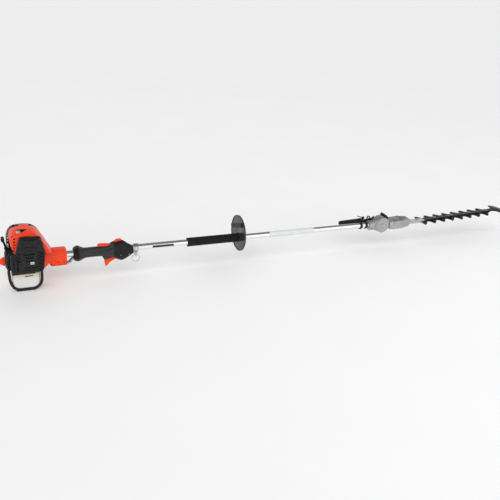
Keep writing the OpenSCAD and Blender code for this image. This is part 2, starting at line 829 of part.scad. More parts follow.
module quadrant() {
  color(dark) on_pole() at_pivot() difference() {
    union() {
      side_plate(23, 27) difference() {
        circle(quad_r);
        circle(20);
        pie(40, 130, 60);
        pie(-50, 40, 60);
      }
      rod_y(23, 27, 42);
    }
    rod_y(22, 28, bolt_d + 0.02);
    for (k = [0:11]) rotate([0, -(135 + 13 * k), 0]) translate([quad_r, 0, 0]) rod_y(22, 28, 5);
  }
}
idler_teeth = 18;
module idler_gear() {
  color(steel) on_pole() at_pivot() difference() {
    rotate([0, 0, -90]) bevel_gear(-14.6, -8.2, 21, 11.4, idler_teeth);
    rod_y(0, 30, bolt_d + 2 * fit);
  }
}
spindle_x = 1672;
module lower_gearcase() {
  color(silver) in_head() difference() {
    union() {
      at_pivot() rod_y(0.2, 22, 2 * drum_r);
      slab(1600, 1634, 0.2, 22, -12, 12);
      difference() {
        translate([0, 0, -12]) linear_extrude(24) polygon([
          [1615, -22], [1628, -28], [1650, -31], [1694, -31], [1722, -22], [1742, -17],
          [1742, 17], [1722, 22], [1694, 31], [1650, 31], [1628, 28], [1615, 22]
        ]);
        at_pivot() rod_y(-60, 0.2, 2 * drum_r + 2);
        at_pivot() rod_y(22, 60, 2 * 50);
      }
      rod_x(1626, 1646, 24);
    }
    at_pivot() rod_y(-1, 16.8, 2 * drum_r - 10);
    at_pivot() rod_y(-1, 23, bolt_d + 2 * fit);
    at_pivot() side_plate(-1, 6) pie(118, 280, 60);
    rod_x(1608, 1640, 12);
    rod_x(1640, 1660, 18);
    translate([spindle_x, 0, -13]) cylinder(h = 14, d = 52);
    slab(1640, 1662, -8, 8, -13, 0);
    slab(1705, 1745, -13.2, 13.2, -13, -3.2);
    translate([spindle_x, 0, 0]) cylinder(h = 8, d = 10 + 2 * fit);
    for (x = [1638, 1700], y = [-25, 25]) translate([x, y, -13]) cylinder(h = 26, d = 4.2);
  }
}
module gearcase_cover() {
  color(silver) in_head() difference() {
    translate([0, 0, -25]) linear_extrude(12.9) polygon([
      [1630, -26], [1650, -31], [1694, -31], [1722, -23], [1742, -20],
      [1742, 20], [1722, 23], [1694, 31], [1650, 31], [1630, 26]
    ]);
    slab(1632, 1713, -22, 22, -21, -12);
    slab(1680, 1750, -17, 17, -21, -12);
    translate([spindle_x, 0, -26]) cylinder(h = 6, d = 10 + 2 * fit);
    for (x = [1638, 1700], y = [-25, 25]) translate([x, y, -26]) cylinder(h = 16, d = 4.2);
    for (x = bar_bolts) translate([x, 0, -26]) cylinder(h = 6, d = 11);
  }
}
module input_pinion() {
  color(steel) in_head() {
    mirror([1, 0, 0]) translate([-2 * pivot_x, 0, 0]) bevel_gear(shaft_end - 0.01, shaft_end + 10, 14, 7.6, 12);
    rod_x(2 * pivot_x - shaft_end - 0.1, 1657, 8);
    difference() {
      rod_x(1646, 1657, 13);
      for (k = [0:9]) rotate([36 * k, 0, 0]) slab(1645, 1658, -0.9, 0.9, 5.2, 8);
    }
    pipe_x(1618, 1630, 11.8, 7.9);
  }
}
eccentric = 8;
cam_r = 9;
gear_r = 24.5;
module cam_gear() {
  color(steel) in_head() translate([spindle_x, 0, 0]) {
    difference() {
      translate([0, 0, -12]) cylinder(h = 5, r = gear_r);
      for (k = [0:29]) rotate([0, 0, 12 * k]) slab(14, 30, -0.9, 0.9, -8.2, -6);
    }
    translate([0, 0, -7.5]) cylinder(h = 15, d = 10);
    translate([0, 0, -24.5]) cylinder(h = 13, d = 10);
    translate([0, eccentric, upper_z0]) cylinder(h = blade_t + 0.4, r = cam_r);
    translate([0, -eccentric, lower_z0]) cylinder(h = blade_t + 0.4, r = cam_r);
  }
}
module lever_arm() {
  color(black) in_head() {
    difference() {
      union() {
        at_pivot() side_plate(28, 33) difference() {
          union() {
            circle(23);
            polygon([[-92, 7], [-92, 17], [0, 23], [10, 20], [10, -10], [-20, -4]]);
            intersection() {
              circle(49);
              pie(8, 62, 70);
            }
          }
          circle(7);
        }
        at_pivot() side_plate(0.2, 33) intersection() {
          difference() {
            circle(49);
            circle(43);
          }
          pie(18, 60, 70);
        }
        at_pivot() side_plate(0.2, 22) intersection() {
          difference() {
            circle(44);
            circle(drum_r + 0.02);
          }
          pie(24, 50, 70);
        }
        translate([0, 34, 11.5]) rod_x(1394.1, 1500.01, 15.9);
        translate([0, 34, 11.5]) rod_x(1500, 1512, 21);
        translate([1540, 28, 24]) rod_y(0, 6, 18);
      }
      translate([1540, 27, 24]) rod_y(0, 8, 10);
      translate([1516, 20, 24]) rod_y(0, 30, 4 + 2 * fit);
      slab(1506, 1526, 32.9, 38.1, 4, 40);
    }
    difference() {
      translate([1516, 38.2, 24]) rod_y(0, 3, 12);
      translate([1516, 38, 24]) rod_y(0, 4, 4 + 2 * fit);
    }
    slab(1508, 1518, 38.2, 41.2, 14, 22);
  }
}
module lever_grip() {
  color(black) in_head() translate([0, 34, 11.5]) difference() {
    union() {
      rod_x(1389, 1500, 25);
      rod_x(1385.5, 1389.01, 20);
      rod_x(1494, 1500, 27);
    }
    rod_x(1394, 1501, 16);
  }
}
module release_lever() {
  color(dark) in_head() translate([1516, 0, 24]) {
    rod_y(33.2, 38, 10);
    rod_y(30, 41, 4);
    side_plate(33.2, 38) polygon([[-3, 4], [-24, 10.5], [-34, 14], [-36, 11.5], [-24, 7.5], [-12, 1.5], [0, -4]]);
  }
}

// ------------------------------------------------------------- cutter
bar_z0 = -12;
bar_z1 = -7.5;
upper_z0 = bar_z0 - 0.3 - blade_t;
lower_z0 = upper_z0 - 0.3 - blade_t;
bar_bolts = [1720, 1758, 1796];
blade_bolt_x = concat(bar_bolts, [1905, 2013, 2121, 2230]);
first_tooth = 1838;
nose_x = 2318;
bar_w = 26;
module guide_bar() {
  color(dark) in_head() {
    difference() {
      union() {
        slab(1706, 2292, -bar_w / 2, bar_w / 2, bar_z0, bar_z1);
        translate([0, 0, bar_z0]) linear_extrude(bar_z1 - bar_z0) polygon(concat(
          [[2262, -13], [2278, -22], [2286, -48], [2291, -50]],
          arc(2254, 0, 64, -46, 46, 10),
          [[2291, 50], [2286, 48], [2278, 22], [2262, 13]]
        ));
      }
      for (x = blade_bolt_x) translate([x, 0, bar_z0 - 1]) cylinder(h = 20, d = 6.2);
    }
  }
}
module blade_bolts() {
  color(steel) in_head() for (x = blade_bolt_x) translate([x, 0, 0]) {
    top = x < 1800 ? bar_z1 + 4.2 : bar_z1;
    translate([0, 0, lower_z0 - 0.3]) cylinder(h = top - lower_z0 + 0.3, d = 5.8);
    if (x > 1745) translate([0, 0, top]) cylinder(h = 3.4, d = 10, $fn = 6);
    translate([0, 0, lower_z0 - 4.3]) cylinder(h = 4, d = 10, $fn = 6);
  }
}
function tooth(x) = [
  [x - 24, 15], [x - 12, 20], [x - 5, 32], [x - 3.5, tooth_reach],
  [x + 3.5, tooth_reach], [x + 5, 32], [x + 12, 20], [x + 24, 15]
];
// One blade: the slots run from each bolt towards +X for slide_to = 1 and towards -X for slide_to = -1
module blade(slide_to) {
  shift = slide_to > 0 ? 0 : -stroke;
  sweep = eccentric + cam_r + 0.5;
  cam_lo = spindle_x - sweep - (slide_to > 0 ? 0 : stroke);
  cam_hi = spindle_x + sweep + (slide_to > 0 ? stroke : 0);
  end_x = first_tooth + (tooth_count - 1) * tooth_pitch + 24 + shift;
  outline = concat(
    [[cam_lo - 5, 21.5], [cam_hi + 5, 21.5], [cam_hi + 5, 15]],
    [for (i = [0:tooth_count - 1]) each tooth(first_tooth + i * tooth_pitch + shift)],
    [[end_x + 3, 15]]
  );
  linear_extrude(blade_t) difference() {
    polygon(concat(outline, [for (i = [len(outline) - 1:-1:0]) [outline[i][0], -outline[i][1]]]));
    translate([cam_lo, -sweep]) square([cam_hi - cam_lo, 2 * sweep]);
    for (x = blade_bolt_x) {
      a = slide_to > 0 ? x : x - stroke;
      translate([a, -3.3]) square([stroke, 6.6]);
      for (e = [a, a + stroke]) translate([e, 0]) circle(3.3);
    }
  }
}
module upper_blade() {
  color(black) in_head() translate([0, 0, upper_z0]) blade(1);
}
module lower_blade() {
  color(black) in_head() translate([0, 0, lower_z0]) blade(-1);
}

crankcase();
bearings();
cylinder_node();  // cylinder
piston();
connecting_rod();
crankshaft();
flywheel();
clutch_shoes();
spark_plug();
plug_boot();
ignition_coil();
starter_housing();
recoil_pulley();
starter_grip();
starter_rope();
engine_cover();
side_shroud();
engine_base();
clutch_housing();
muffler();
muffler_cover();
carburetor();
air_filter();
air_cleaner_cover();
choke_lever();
primer_bulb();
fuel_tank();
fuel_line();
fuel_cap();
tank_guard();
clutch_drum();
drive_shaft();
shaft_bushes();
outer_tube();
handle_left();
handle_right();
screws();
trigger();
lockout_lever();
stop_switch();
throttle_cable();
hanger_clamp();
hanger_ring();
front_grip();
hand_guard();
tube_bands();
upper_gearcase();
quadrant();
idler_gear();
lower_gearcase();
gearcase_cover();
input_pinion();
cam_gear();
lever_arm();
lever_grip();
release_lever();
guide_bar();
blade_bolts();
upper_blade();
lower_blade();
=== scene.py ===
import json
from math import atan, atan2, copysign, cos, degrees, hypot, pi, radians, sin

import bmesh
import bpy
from mathutils import Matrix, Vector


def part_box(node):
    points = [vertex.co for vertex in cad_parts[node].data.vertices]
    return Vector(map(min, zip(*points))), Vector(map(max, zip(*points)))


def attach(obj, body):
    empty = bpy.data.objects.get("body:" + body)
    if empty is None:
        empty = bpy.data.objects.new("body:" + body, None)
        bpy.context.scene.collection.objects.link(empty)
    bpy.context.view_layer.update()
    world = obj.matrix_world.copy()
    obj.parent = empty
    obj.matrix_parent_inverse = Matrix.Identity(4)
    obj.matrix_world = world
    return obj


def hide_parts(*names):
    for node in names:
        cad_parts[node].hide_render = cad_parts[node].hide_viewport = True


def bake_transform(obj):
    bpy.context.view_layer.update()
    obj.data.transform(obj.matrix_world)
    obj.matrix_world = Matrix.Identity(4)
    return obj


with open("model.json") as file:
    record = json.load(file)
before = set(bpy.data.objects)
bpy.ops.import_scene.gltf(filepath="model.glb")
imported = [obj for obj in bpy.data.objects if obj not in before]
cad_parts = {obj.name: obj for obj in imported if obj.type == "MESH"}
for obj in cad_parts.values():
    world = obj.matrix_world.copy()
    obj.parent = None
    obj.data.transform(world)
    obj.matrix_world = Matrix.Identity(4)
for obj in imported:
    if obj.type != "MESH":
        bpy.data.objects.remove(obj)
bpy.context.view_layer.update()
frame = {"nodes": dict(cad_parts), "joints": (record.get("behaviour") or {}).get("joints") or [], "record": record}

MM = 0.001
CYLINDER_SIDES = 96

# ---- where things are
tube_lo, tube_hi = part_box("outer_tube")
POLE_Z = (tube_lo.z + tube_hi.z) / 2
TUBE_R = (tube_hi.y - tube_lo.y) / 2 / MM
joints = {j["name"]: j for j in frame["joints"]}
pivot = Vector(joints["head_tilt"]["pos_m"])
along_head = Vector(joints["input_spin"]["axis"])
HEAD_RISE = atan2(along_head.z, along_head.x)
HEAD = Matrix.Translation(pivot) @ Matrix.Rotation(-HEAD_RISE, 4, "Y") @ Matrix.Translation(-pivot)
PIVOT_X = pivot.x / MM
PIVOT = (PIVOT_X, 0, 0)

# In mm, X from the tank's foot and Y and Z from the pole's axis; in the head's own line beyond the pivot
SEAM_GAP = 0.12
SLASH_PITCH = 14.2
HANDLE_SCREWS_X = (212, 362, 394)
HANGER_BOLT = (424, 0, -19)
GUARD_X = 865
LEVER_GRIP_X = (1385.5, 1500)
CAP_CENTRE = (0, 46, -28)
CAM_X = 1672
YOKE_R = 17.5
CASE_SCREWS = [(x, y, 0) for x in (1638, 1700) for y in (-25, 25)]
ROOT_BOLTS = (1720, 1758, 1796)
GUIDE_BOLTS = (1905, 2013, 2121, 2230)
STROKE = 16
TEETH = 8
TOOTH_PITCH = 54.2
FIRST_TOOTH = 1838
UPPER_BACK = 12
BLADE_THICK = 2.5


def place(p, head=False):
    """A point in mm about the pole axis, as a point of the frame in metres."""
    v = Vector((p[0] * MM, p[1] * MM, p[2] * MM + POLE_Z))
    return HEAD @ v if head else v


# ---- mesh tools
def link(name, mesh):
    ob = bpy.data.objects.new(name, mesh)
    bpy.context.scene.collection.objects.link(ob)
    return ob


def solid(name, verts, faces, head=False):
    """A mesh from points in mm about the pole axis."""
    mesh = bpy.data.meshes.new(name)
    mesh.from_pydata([place(v, head) for v in verts], [], faces)
    bm = bmesh.new()
    bm.from_mesh(mesh)
    bmesh.ops.remove_doubles(bm, verts=bm.verts, dist=1e-7)
    bmesh.ops.recalc_face_normals(bm, faces=bm.faces)
    bm.to_mesh(mesh)
    bm.free()
    return link(name, mesh)


def loft(name, rings, head=False, caps=True, loop=True):
    """Joins rings of equally many points. caps close the two ends; loop closes each ring."""
    n = len(rings[0])
    verts = [p for ring in rings for p in ring]
    faces = []
    for i in range(len(rings) - 1):
        for k in range(n if loop else n - 1):
            a, b = i * n + k, i * n + (k + 1) % n
            faces.append((a, b, b + n, a + n))
    if caps:
        faces.append(tuple(range(n - 1, -1, -1)))
        faces.append(tuple((len(rings) - 1) * n + k for k in range(n)))
    return solid(name, verts, faces, head)


def on_axis(axis, t, a, b):
    return {"x": (t, a, b), "y": (a, t, b), "z": (a, b, t)}[axis]


def prism(name, outline, lo, hi, axis="y", head=False):
    """An outline drawn out along one axis from lo to hi."""
    return loft(name, [[on_axis(axis, t, a, b) for a, b in outline] for t in (lo, hi)], head)


def slab(name, x0, x1, y0, y1, z0, z1):
    return prism(name, [(x0, z0), (x1, z0), (x1, z1), (x0, z1)], y0, y1)


def block(name, centre, size, turn=(0, 0, 0), head=False):
    """A box about centre, turned by angles in degrees about X, Y and Z."""
    spin = Matrix.Rotation(radians(turn[2]), 3, "Z") @ Matrix.Rotation(radians(turn[1]), 3, "Y")
    spin = spin @ Matrix.Rotation(radians(turn[0]), 3, "X")
    verts = []
    for x in (-0.5, 0.5):
        for y in (-0.5, 0.5):
            for z in (-0.5, 0.5):
                v = spin @ Vector((x * size[0], y * size[1], z * size[2]))
                verts.append((centre[0] + v.x, centre[1] + v.y, centre[2] + v.z))
    faces = [(0, 1, 3, 2), (4, 6, 7, 5), (0, 4, 5, 1), (2, 3, 7, 6), (0, 2, 6, 4), (1, 5, 7, 3)]
    return solid(name, verts, faces, head)


def inset(outline, d):
    """An outline moved inwards by d, corner by corner; the outline runs anticlockwise."""
    out = []
    n = len(outline)
    for i in range(n):
        a, b, c = (Vector(outline[(i + k) % n]) for k in (-1, 0, 1))
        e0, e1 = (b - a).normalized(), (c - b).normalized()
        n0, n1 = Vector((-e0.y, e0.x)), Vector((-e1.y, e1.x))
        m = (n0 + n1).normalized()
        p = b + m * (d / max(0.35, m.dot(n0)))
        out.append((p.x, p.y))
    return out


def rounded(corners, step):
    """An outline of arcs; each corner gives its centre, radius and first angle, and turns 90 degrees in steps."""
    turns = [(x, z, r, radians(start + step * k)) for x, z, r, start in corners for k in range(90 // step + 1)]
    return [(x + r * cos(a), z + r * sin(a)) for x, z, r, a in turns]


def lathe(name, profile, centre=(0, 0, 0), axis="x", head=False, ring=False, sides=CYLINDER_SIDES):
    """Turns a profile of (along, radius) about an axis through centre. ring joins its two ends."""
    rings = []
    for t, r in profile + ([profile[0]] if ring else []):
        turn = [2 * pi * k / sides for k in range(sides)]
        pts = [on_axis(axis, t, r * cos(a), r * sin(a)) for a in turn]
        rings.append([tuple(p[i] + centre[i] for i in range(3)) for p in pts])
    return loft(name, rings, head, caps=not ring)


def rod(name, axis, lo, hi, d, centre=(0, 0, 0), head=False, edge=0.6):
    """A turned pin with rounded rims."""
    r = d / 2
    e = min(edge, r * 0.45, (hi - lo) * 0.4)
    profile = [
        (lo, r - e), (lo + 0.3 * e, r - 0.3 * e), (lo + e, r), (hi - e, r), (hi - 0.3 * e, r - 0.3 * e), (hi, r - e)
    ]
    return lathe(name, profile, centre, axis, head, sides=40)


def curve_through(points, steps=6):
    """A smooth (Catmull-Rom) curve through points of any dimension."""
    out = []
    last = len(points) - 1
    for i in range(last):
        p = [points[max(i - 1, 0)], points[i], points[i + 1], points[min(i + 2, last)]]
        for s in range(steps):
            t = s / steps
            w = (-t + 2 * t**2 - t**3, 2 - 5 * t**2 + 3 * t**3, t + 4 * t**2 - 3 * t**3, -(t**2) + t**3)
            out.append(tuple(sum(w[k] * p[k][d] for k in range(4)) / 2 for d in range(len(points[0]))))
    return out + [tuple(points[-1])]


def sweep(name, path, radius, sides=20, flat=1.0):
    """A tube along a path; radius is a number or a function of the share of the way, flat squashes it."""
    pts = [Vector(p) for p in path]
    last = len(pts) - 1
    side = None
    rings = []
    for i, p in enumerate(pts):
        t = (pts[min(i + 1, last)] - pts[max(i - 1, 0)]).normalized()
        if side is None:
            side = t.cross(Vector((0.05, 1, 0.03))).normalized()
        side = (side - t * side.dot(t)).normalized()
        other = t.cross(side)
        r = radius(i / last) if callable(radius) else radius
        turn = [2 * pi * k / sides for k in range(sides)]
        rings.append([tuple(p + side * (r * cos(a)) + other * (r * flat * sin(a))) for a in turn])
    return loft(name, rings)


def bake_modifiers(ob):
    mesh = bpy.data.meshes.new_from_object(ob.evaluated_get(bpy.context.evaluated_depsgraph_get()))
    ob.modifiers.clear()
    ob.data = mesh
    return ob


def modify(ob, kind, **settings):
    m = ob.modifiers.new(kind.lower(), kind)
    for k, v in settings.items():
        setattr(m, k, v)
    return bake_modifiers(ob)


def bevel(ob, width, segments=3, angle=32, material=-1):
    return modify(
        ob, "BEVEL", width=width * MM, segments=segments, limit_method="ANGLE", angle_limit=radians(angle),
        material=material, use_clamp_overlap=True, miter_outer="MITER_ARC"
    )


def combine(ob, others, operation):
    for other in others:
        modify(ob, "BOOLEAN", operation=operation, object=other, solver="EXACT")
        bpy.data.objects.remove(other)
    return ob


def cut(ob, *others):
    return combine(ob, others, "DIFFERENCE")


def weld(ob, *others):
    return combine(ob, others, "UNION")


def join(ob, *others):
    """Puts separate solids in one piece."""
    bm = bmesh.new()
    bm.from_mesh(ob.data)
    for other in others:
        bm.from_mesh(other.data)
        bpy.data.objects.remove(other)
    bm.to_mesh(ob.data)
    bm.free()
    return ob


def copy_of(node):
    """A copy of a CAD node's mesh, without the triangles across its flat faces."""
    bm = bmesh.new()
    bm.from_mesh(frame["nodes"][node].data)
    bmesh.ops.remove_doubles(bm, verts=bm.verts, dist=2e-6)
    bmesh.ops.dissolve_limit(bm, angle_limit=radians(0.6), verts=bm.verts, edges=bm.edges)
    mesh = bpy.data.meshes.new(node + "_shape")
    bm.verts.index_update()
    mesh.from_pydata([v.co for v in bm.verts], [], [[v.index for v in f.verts] for f in bm.faces])
    bm.free()
    return link(mesh.name, mesh)


def cast(ob, voxel, smooth=6):
    """Melts a shape's edges together, as a casting or soft moulding has them."""
    modify(ob, "REMESH", mode="VOXEL", voxel_size=voxel * MM, use_smooth_shade=True)
    return modify(ob, "SMOOTH", factor=0.5, iterations=smooth)


SLOT_OF = {}


def done(ob, name, finishes, node=None, body="root", angle=35, even=True):
    """Names a finished piece, shades it, ties it to its body and hides the CAD node it stands for."""
    if not isinstance(finishes, list):
        finishes = [finishes]
    ob.name = name
    ob.data.name = name
    ob.data.materials.clear()
    for finish in finishes:
        ob.data.materials.append(finish)
    ob.data.shade_smooth()
    ob.data.set_sharp_from_angle(angle=radians(angle))
    if even:
        modify(ob, "WEIGHTED_NORMAL", keep_sharp=True, weight=60)
    if body:
        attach(ob, body)
    if node:
        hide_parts(node)
    return ob


# ---- materials
def shader(name, slot=None):
    m = bpy.data.materials.new(name)
    SLOT_OF[m.name] = slot
    m.use_nodes = True
    return m, m.node_tree, m.node_tree.nodes["Principled BSDF"]


def feed(tree, node, inputs):
    """Sets a node's inputs from a table: a socket is linked, anything else is the input's value."""
    for k, v in dict(inputs).items():
        if isinstance(v, bpy.types.NodeSocket):
            tree.links.new(v, node.inputs[k])
        else:
            node.inputs[k].default_value = v
    return node


def add(tree, kind, inputs=(), **settings):
    n = tree.nodes.new("ShaderNode" + kind)
    for k, v in settings.items():
        setattr(n, k, v)
    return feed(tree, n, inputs)


def calc(tree, operation, a, b):
    return add(tree, "Math", {0: a, 1: b}, operation=operation).outputs[0]


def where(tree, scale=(1, 1, 1)):
    coords = add(tree, "TexCoord")
    return add(tree, "Mapping", {"Vector": coords.outputs["Object"], "Scale": scale}).outputs["Vector"]


def noise_at(tree, scale, stretch=(1, 1, 1), detail=3.0):
    settings = {"Vector": where(tree, stretch), "Scale": scale, "Detail": detail, "Roughness": 0.55}
    return add(tree, "TexNoise", settings).outputs["Fac"]


def rgba(colour):
    return colour if isinstance(colour, bpy.types.NodeSocket) else (*colour, 1)


def blend_colour(tree, factor, a, b):
    return add(tree, "Mix", {0: factor, 6: rgba(a), 7: rgba(b)}, data_type="RGBA").outputs[2]


def remap(tree, value, lo, hi, out_lo, out_hi):
    ends = {"Value": value, "From Min": lo, "From Max": hi, "To Min": out_lo, "To Max": out_hi}
    return add(tree, "MapRange", ends).outputs["Result"]


def scaled(rgb, k):
    return tuple(min(1.0, c * k) for c in rgb)


def finish_of(
    name, slot, rgb, rough, metal=0.0, tone=0.12, tone_scale=35, grain=0.12, grain_scale=1400, rough_swing=0.08,
    stretch=(1, 1, 1), coat=0.0, wear=0.0, wear_rgb=(0.5, 0.5, 0.5), scratches=0.0, mask=None, subsurface=0.0
):
    """A procedural finish: mottled tone, uneven roughness, fine grain, and worn edges where asked."""
    m, tree, bsdf = shader(name, slot)
    share = remap(tree, noise_at(tree, tone_scale, stretch), 0.3, 0.7, 0.0, 1.0)
    colour = blend_colour(tree, share, scaled(rgb, 1 - tone), scaled(rgb, 1 + tone))
    if mask:
        colour = mask(tree, colour)
    if wear:
        edge = remap(tree, add(tree, "NewGeometry").outputs["Pointiness"], 0.515, 0.56, 0.0, wear)
        patch = remap(tree, noise_at(tree, 160, detail=4), 0.42, 0.6, 0.0, 1.0)
        colour = blend_colour(tree, calc(tree, "MULTIPLY", edge, patch), colour, wear_rgb)
    smudge = noise_at(tree, tone_scale * 2.3, stretch, detail=5)
    height = noise_at(tree, grain_scale, stretch, detail=2)
    if scratches:
        height = calc(tree, "ADD", height, noise_at(tree, 500, (0.06, 1, 1), detail=2))
    bump = add(tree, "Bump", {"Strength": grain, "Distance": 0.0004, "Height": height})
    feed(tree, bsdf, {
        "Base Color": colour, "Metallic": metal, "Specular IOR Level": 0.5 if metal > 0.3 else 0.22,
        "Roughness": remap(tree, smudge, 0.3, 0.7, max(0.03, rough - rough_swing), min(1, rough + rough_swing)),
        "Coat Weight": coat, "Coat Roughness": 0.12, "Normal": bump.outputs["Normal"]
    })
    if subsurface:
        depth = (0.006, 0.006, 0.005)
        feed(tree, bsdf, {"Subsurface Weight": subsurface, "Subsurface Radius": depth, "Subsurface Scale": 1.0})
    return m


SOFT_EDGE = 0.0005


def position_mask(axis, lo, hi, rgb):
    """Paints rgb where the position along an axis, in metres, is between lo and hi."""
    def paint(tree, colour):
        value = add(tree, "SeparateXYZ", {"Vector": where(tree)}).outputs[axis]
        low = remap(tree, value, lo - SOFT_EDGE, lo + SOFT_EDGE, 0, 1)
        high = remap(tree, value, hi - SOFT_EDGE, hi + SOFT_EDGE, 1, 0)
        return blend_colour(tree, calc(tree, "MULTIPLY", low, high), colour, rgb)
    return paint


def handle_tint(tree, colour):
    """The handle's rear rim and its front housing are a darker moulding than its grip."""
    dark = (0.0085, 0.0085, 0.009)
    return position_mask(0, 0.335, 0.420, dark)(tree, position_mask(0, 0.170, 0.2005, dark)(tree, colour))


HEAD_START, ROOT_END = 1.60, 1.838
BLACKENED = {
    "rgb": (0.008, 0.008, 0.0085), "metal": 0.1, "tone": 0.2, "grain": 0.2, "grain_scale": 600, "scratches": 1.0,
    "wear": 0.18, "wear_rgb": (0.12, 0.12, 0.125)
}
BLADE = finish_of(
    "blade_finish", "blade_steel", rough=0.38, tone_scale=70,
    mask=position_mask(0, HEAD_START, ROOT_END - 0.02, (0.42, 0.43, 0.44)), **BLACKENED
)
BAR = finish_of(
    "bar_finish", "coated_steel", rough=0.36, tone_scale=60,
    mask=position_mask(0, HEAD_START, ROOT_END, (0.46, 0.47, 0.48)), **BLACKENED
)
ORANGE = finish_of(
    "orange_moulding", "orange_plastic", (0.78, 0.040, 0.006), 0.36, tone=0.04, grain=0.05, grain_scale=700,
    rough_swing=0.04, coat=0.05, wear=0.2, wear_rgb=(0.95, 0.20, 0.08)
)
BLACK = finish_of(
    "black_moulding", "black_plastic", (0.0085, 0.0085, 0.009), 0.38, tone=0.10, grain=0.10, rough_swing=0.035,
    grain_scale=1500, wear=0.25, wear_rgb=(0.05, 0.05, 0.052)
)
GRILLE = finish_of(
    "grille_moulding", "black_plastic", (0.006, 0.006, 0.0065), 0.55, tone=0.2, grain=0.3, grain_scale=1200, wear=0.3,
    wear_rgb=(0.06, 0.06, 0.06)
)
SMOKE = finish_of(
    "smoked_moulding", "dark_plastic", (0.028, 0.028, 0.031), 0.26, tone=0.15, grain=0.05, grain_scale=500, coat=0.25,
    wear=0.15, wear_rgb=(0.10, 0.10, 0.105)
)
CAST = finish_of(
    "cast_alloy", "cast_alloy", (0.40, 0.40, 0.395), 0.46, metal=0.75, tone=0.16, tone_scale=120, grain=0.55,
    grain_scale=650, rough_swing=0.12, wear=0.5, wear_rgb=(0.85, 0.85, 0.85)
)
TUBE = finish_of(
    "drawn_tube", "tube_alloy", (0.86, 0.87, 0.88), 0.17, metal=1.0, tone=0.04, grain=0.10, grain_scale=900,
    rough_swing=0.05, stretch=(0.02, 1, 1)
)
HANDLE = finish_of(
    "grip_moulding", "black_plastic", (0.032, 0.032, 0.033), 0.46, tone=0.08, grain=0.12, rough_swing=0.04,
    mask=handle_tint, grain_scale=1500, wear=0.15, wear_rgb=(0.09, 0.09, 0.093)
)
# A pale, mostly non-metal copy of the steel: its light colour is painted light, so metal deep in shade still shows
# bright.
PAINTED_LIGHT_SHEET = finish_of(
    "sheet_painted_light", "steel", (0.72, 0.72, 0.71), 0.38, metal=0.25, tone=0.08, grain=0.1, grain_scale=700
)
STEEL = finish_of(
    "machined_steel", "steel", (0.48, 0.49, 0.51), 0.34, metal=1.0, tone=0.12, grain=0.15, grain_scale=800,
    stretch=(1, 1, 0.15)
)
PLATED = finish_of(
    "zinc_plating", "plated_steel", (0.50, 0.53, 0.54), 0.27, metal=1.0, tone=0.12, tone_scale=160, grain=0.12,
    grain_scale=600, wear=0.3, wear_rgb=(0.9, 0.9, 0.9)
)
COATED = finish_of(
    "black_coating", "coated_steel", (0.008, 0.008, 0.0085), 0.38, tone=0.2, grain=0.22, grain_scale=900, wear=0.35,
    wear_rgb=(0.12, 0.12, 0.125)
)
GROUND = finish_of(
    "ground_edge", "blade_steel", (0.045, 0.045, 0.047), 0.33, metal=0.6, tone=0.2, tone_scale=200, grain=0.25,
    grain_scale=900, stretch=(1, 6, 1)
)
RUBBER = finish_of(
    "grip_foam", "grip_rubber", (0.009, 0.009, 0.0095), 0.72, tone=0.25, grain=0.7, grain_scale=900, wear=0.3,
    wear_rgb=(0.05, 0.05, 0.05)
)
SHEATH = finish_of("cable_sheath", "cable_sheath", (0.02, 0.02, 0.021), 0.5, tone=0.2, grain=0.3, grain_scale=700)
FELT = finish_of(
    "filter_felt", "filter_felt", (0.66, 0.55, 0.30), 0.95, tone=0.2, tone_scale=200, grain=0.9, grain_scale=1200
)
CERAMIC = finish_of("glazed_ceramic", "ceramic_plug", (0.86, 0.84, 0.79), 0.16, tone=0.04, grain=0.04, coat=0.5)
FILM = finish_of(
    "plain_film", "band_film", (0.62, 0.64, 0.65), 0.30, tone=0.03, grain=0.05, grain_scale=400, coat=0.2
)
POLISHED = finish_of(
    "bright_root", "plated_steel", (0.66, 0.67, 0.68), 0.24, metal=1.0, tone=0.08, grain=0.12, grain_scale=700,
    scratches=1.0
)


def rope_finish():
    m, tree, bsdf = shader("braided_rope", "rope_fibre")
    waves = []
    for lean in (1, -1):
        settings = {"Vector": where(tree, (lean, 1, 0.8)), "Scale": 420, "Distortion": 1.5}
        waves.append(add(tree, "TexWave", settings, bands_direction="DIAGONAL").outputs["Fac"])
    weave = calc(tree, "MULTIPLY", *waves)
    bump = add(tree, "Bump", {"Strength": 0.8, "Distance": 0.0006, "Height": weave})
    colour = blend_colour(tree, weave, (0.30, 0.30, 0.29), (0.72, 0.72, 0.70))
    feed(tree, bsdf, {"Base Color": colour, "Roughness": 0.8, "Normal": bump.outputs["Normal"]})
    return m


ROPE = rope_finish()


def tank_tint(tree, colour):
    """The milky tank is painted warmer and darker towards its top, just under the engine."""
    height = add(tree, "SeparateXYZ", {"Vector": where(tree)}).outputs[2]
    level = calc(tree, "ADD", height, calc(tree, "MULTIPLY", noise_at(tree, 25), 0.006))
    warm = remap(tree, level, POLE_Z - 0.060, POLE_Z - 0.046, 0.0, 0.8)
    low = remap(tree, level, POLE_Z - 0.104, POLE_Z - 0.080, 0.35, 0.0)
    return blend_colour(tree, low, blend_colour(tree, warm, colour, (0.62, 0.53, 0.36)), (0.66, 0.66, 0.65))


MILKY = finish_of(
    "milky_tank", "tank_plastic", (0.66, 0.66, 0.645), 0.36, tone=0.04, tone_scale=20, grain=0.08, grain_scale=300,
    coat=0.2, mask=tank_tint, subsurface=0.25
)
BULB = finish_of(
    "milky_bulb", "tank_plastic", (0.70, 0.70, 0.64), 0.25, tone=0.05, grain=0.05, coat=0.3, subsurface=0.3
)

FINISHES = (
    ORANGE, BLACK, SMOKE, BULB, CAST, TUBE, STEEL, PLATED, COATED, BLADE, RUBBER, SHEATH, ROPE, FELT, CERAMIC, FILM
)
CAD_FINISH = {SLOT_OF[finish.name]: finish for finish in FINISHES}
for part in frame["record"]["subparts"]:
    node = frame["nodes"][part["node"]]
    node.data.materials.clear()
    node.data.materials.append(CAD_FINISH[part["material_slot"]])

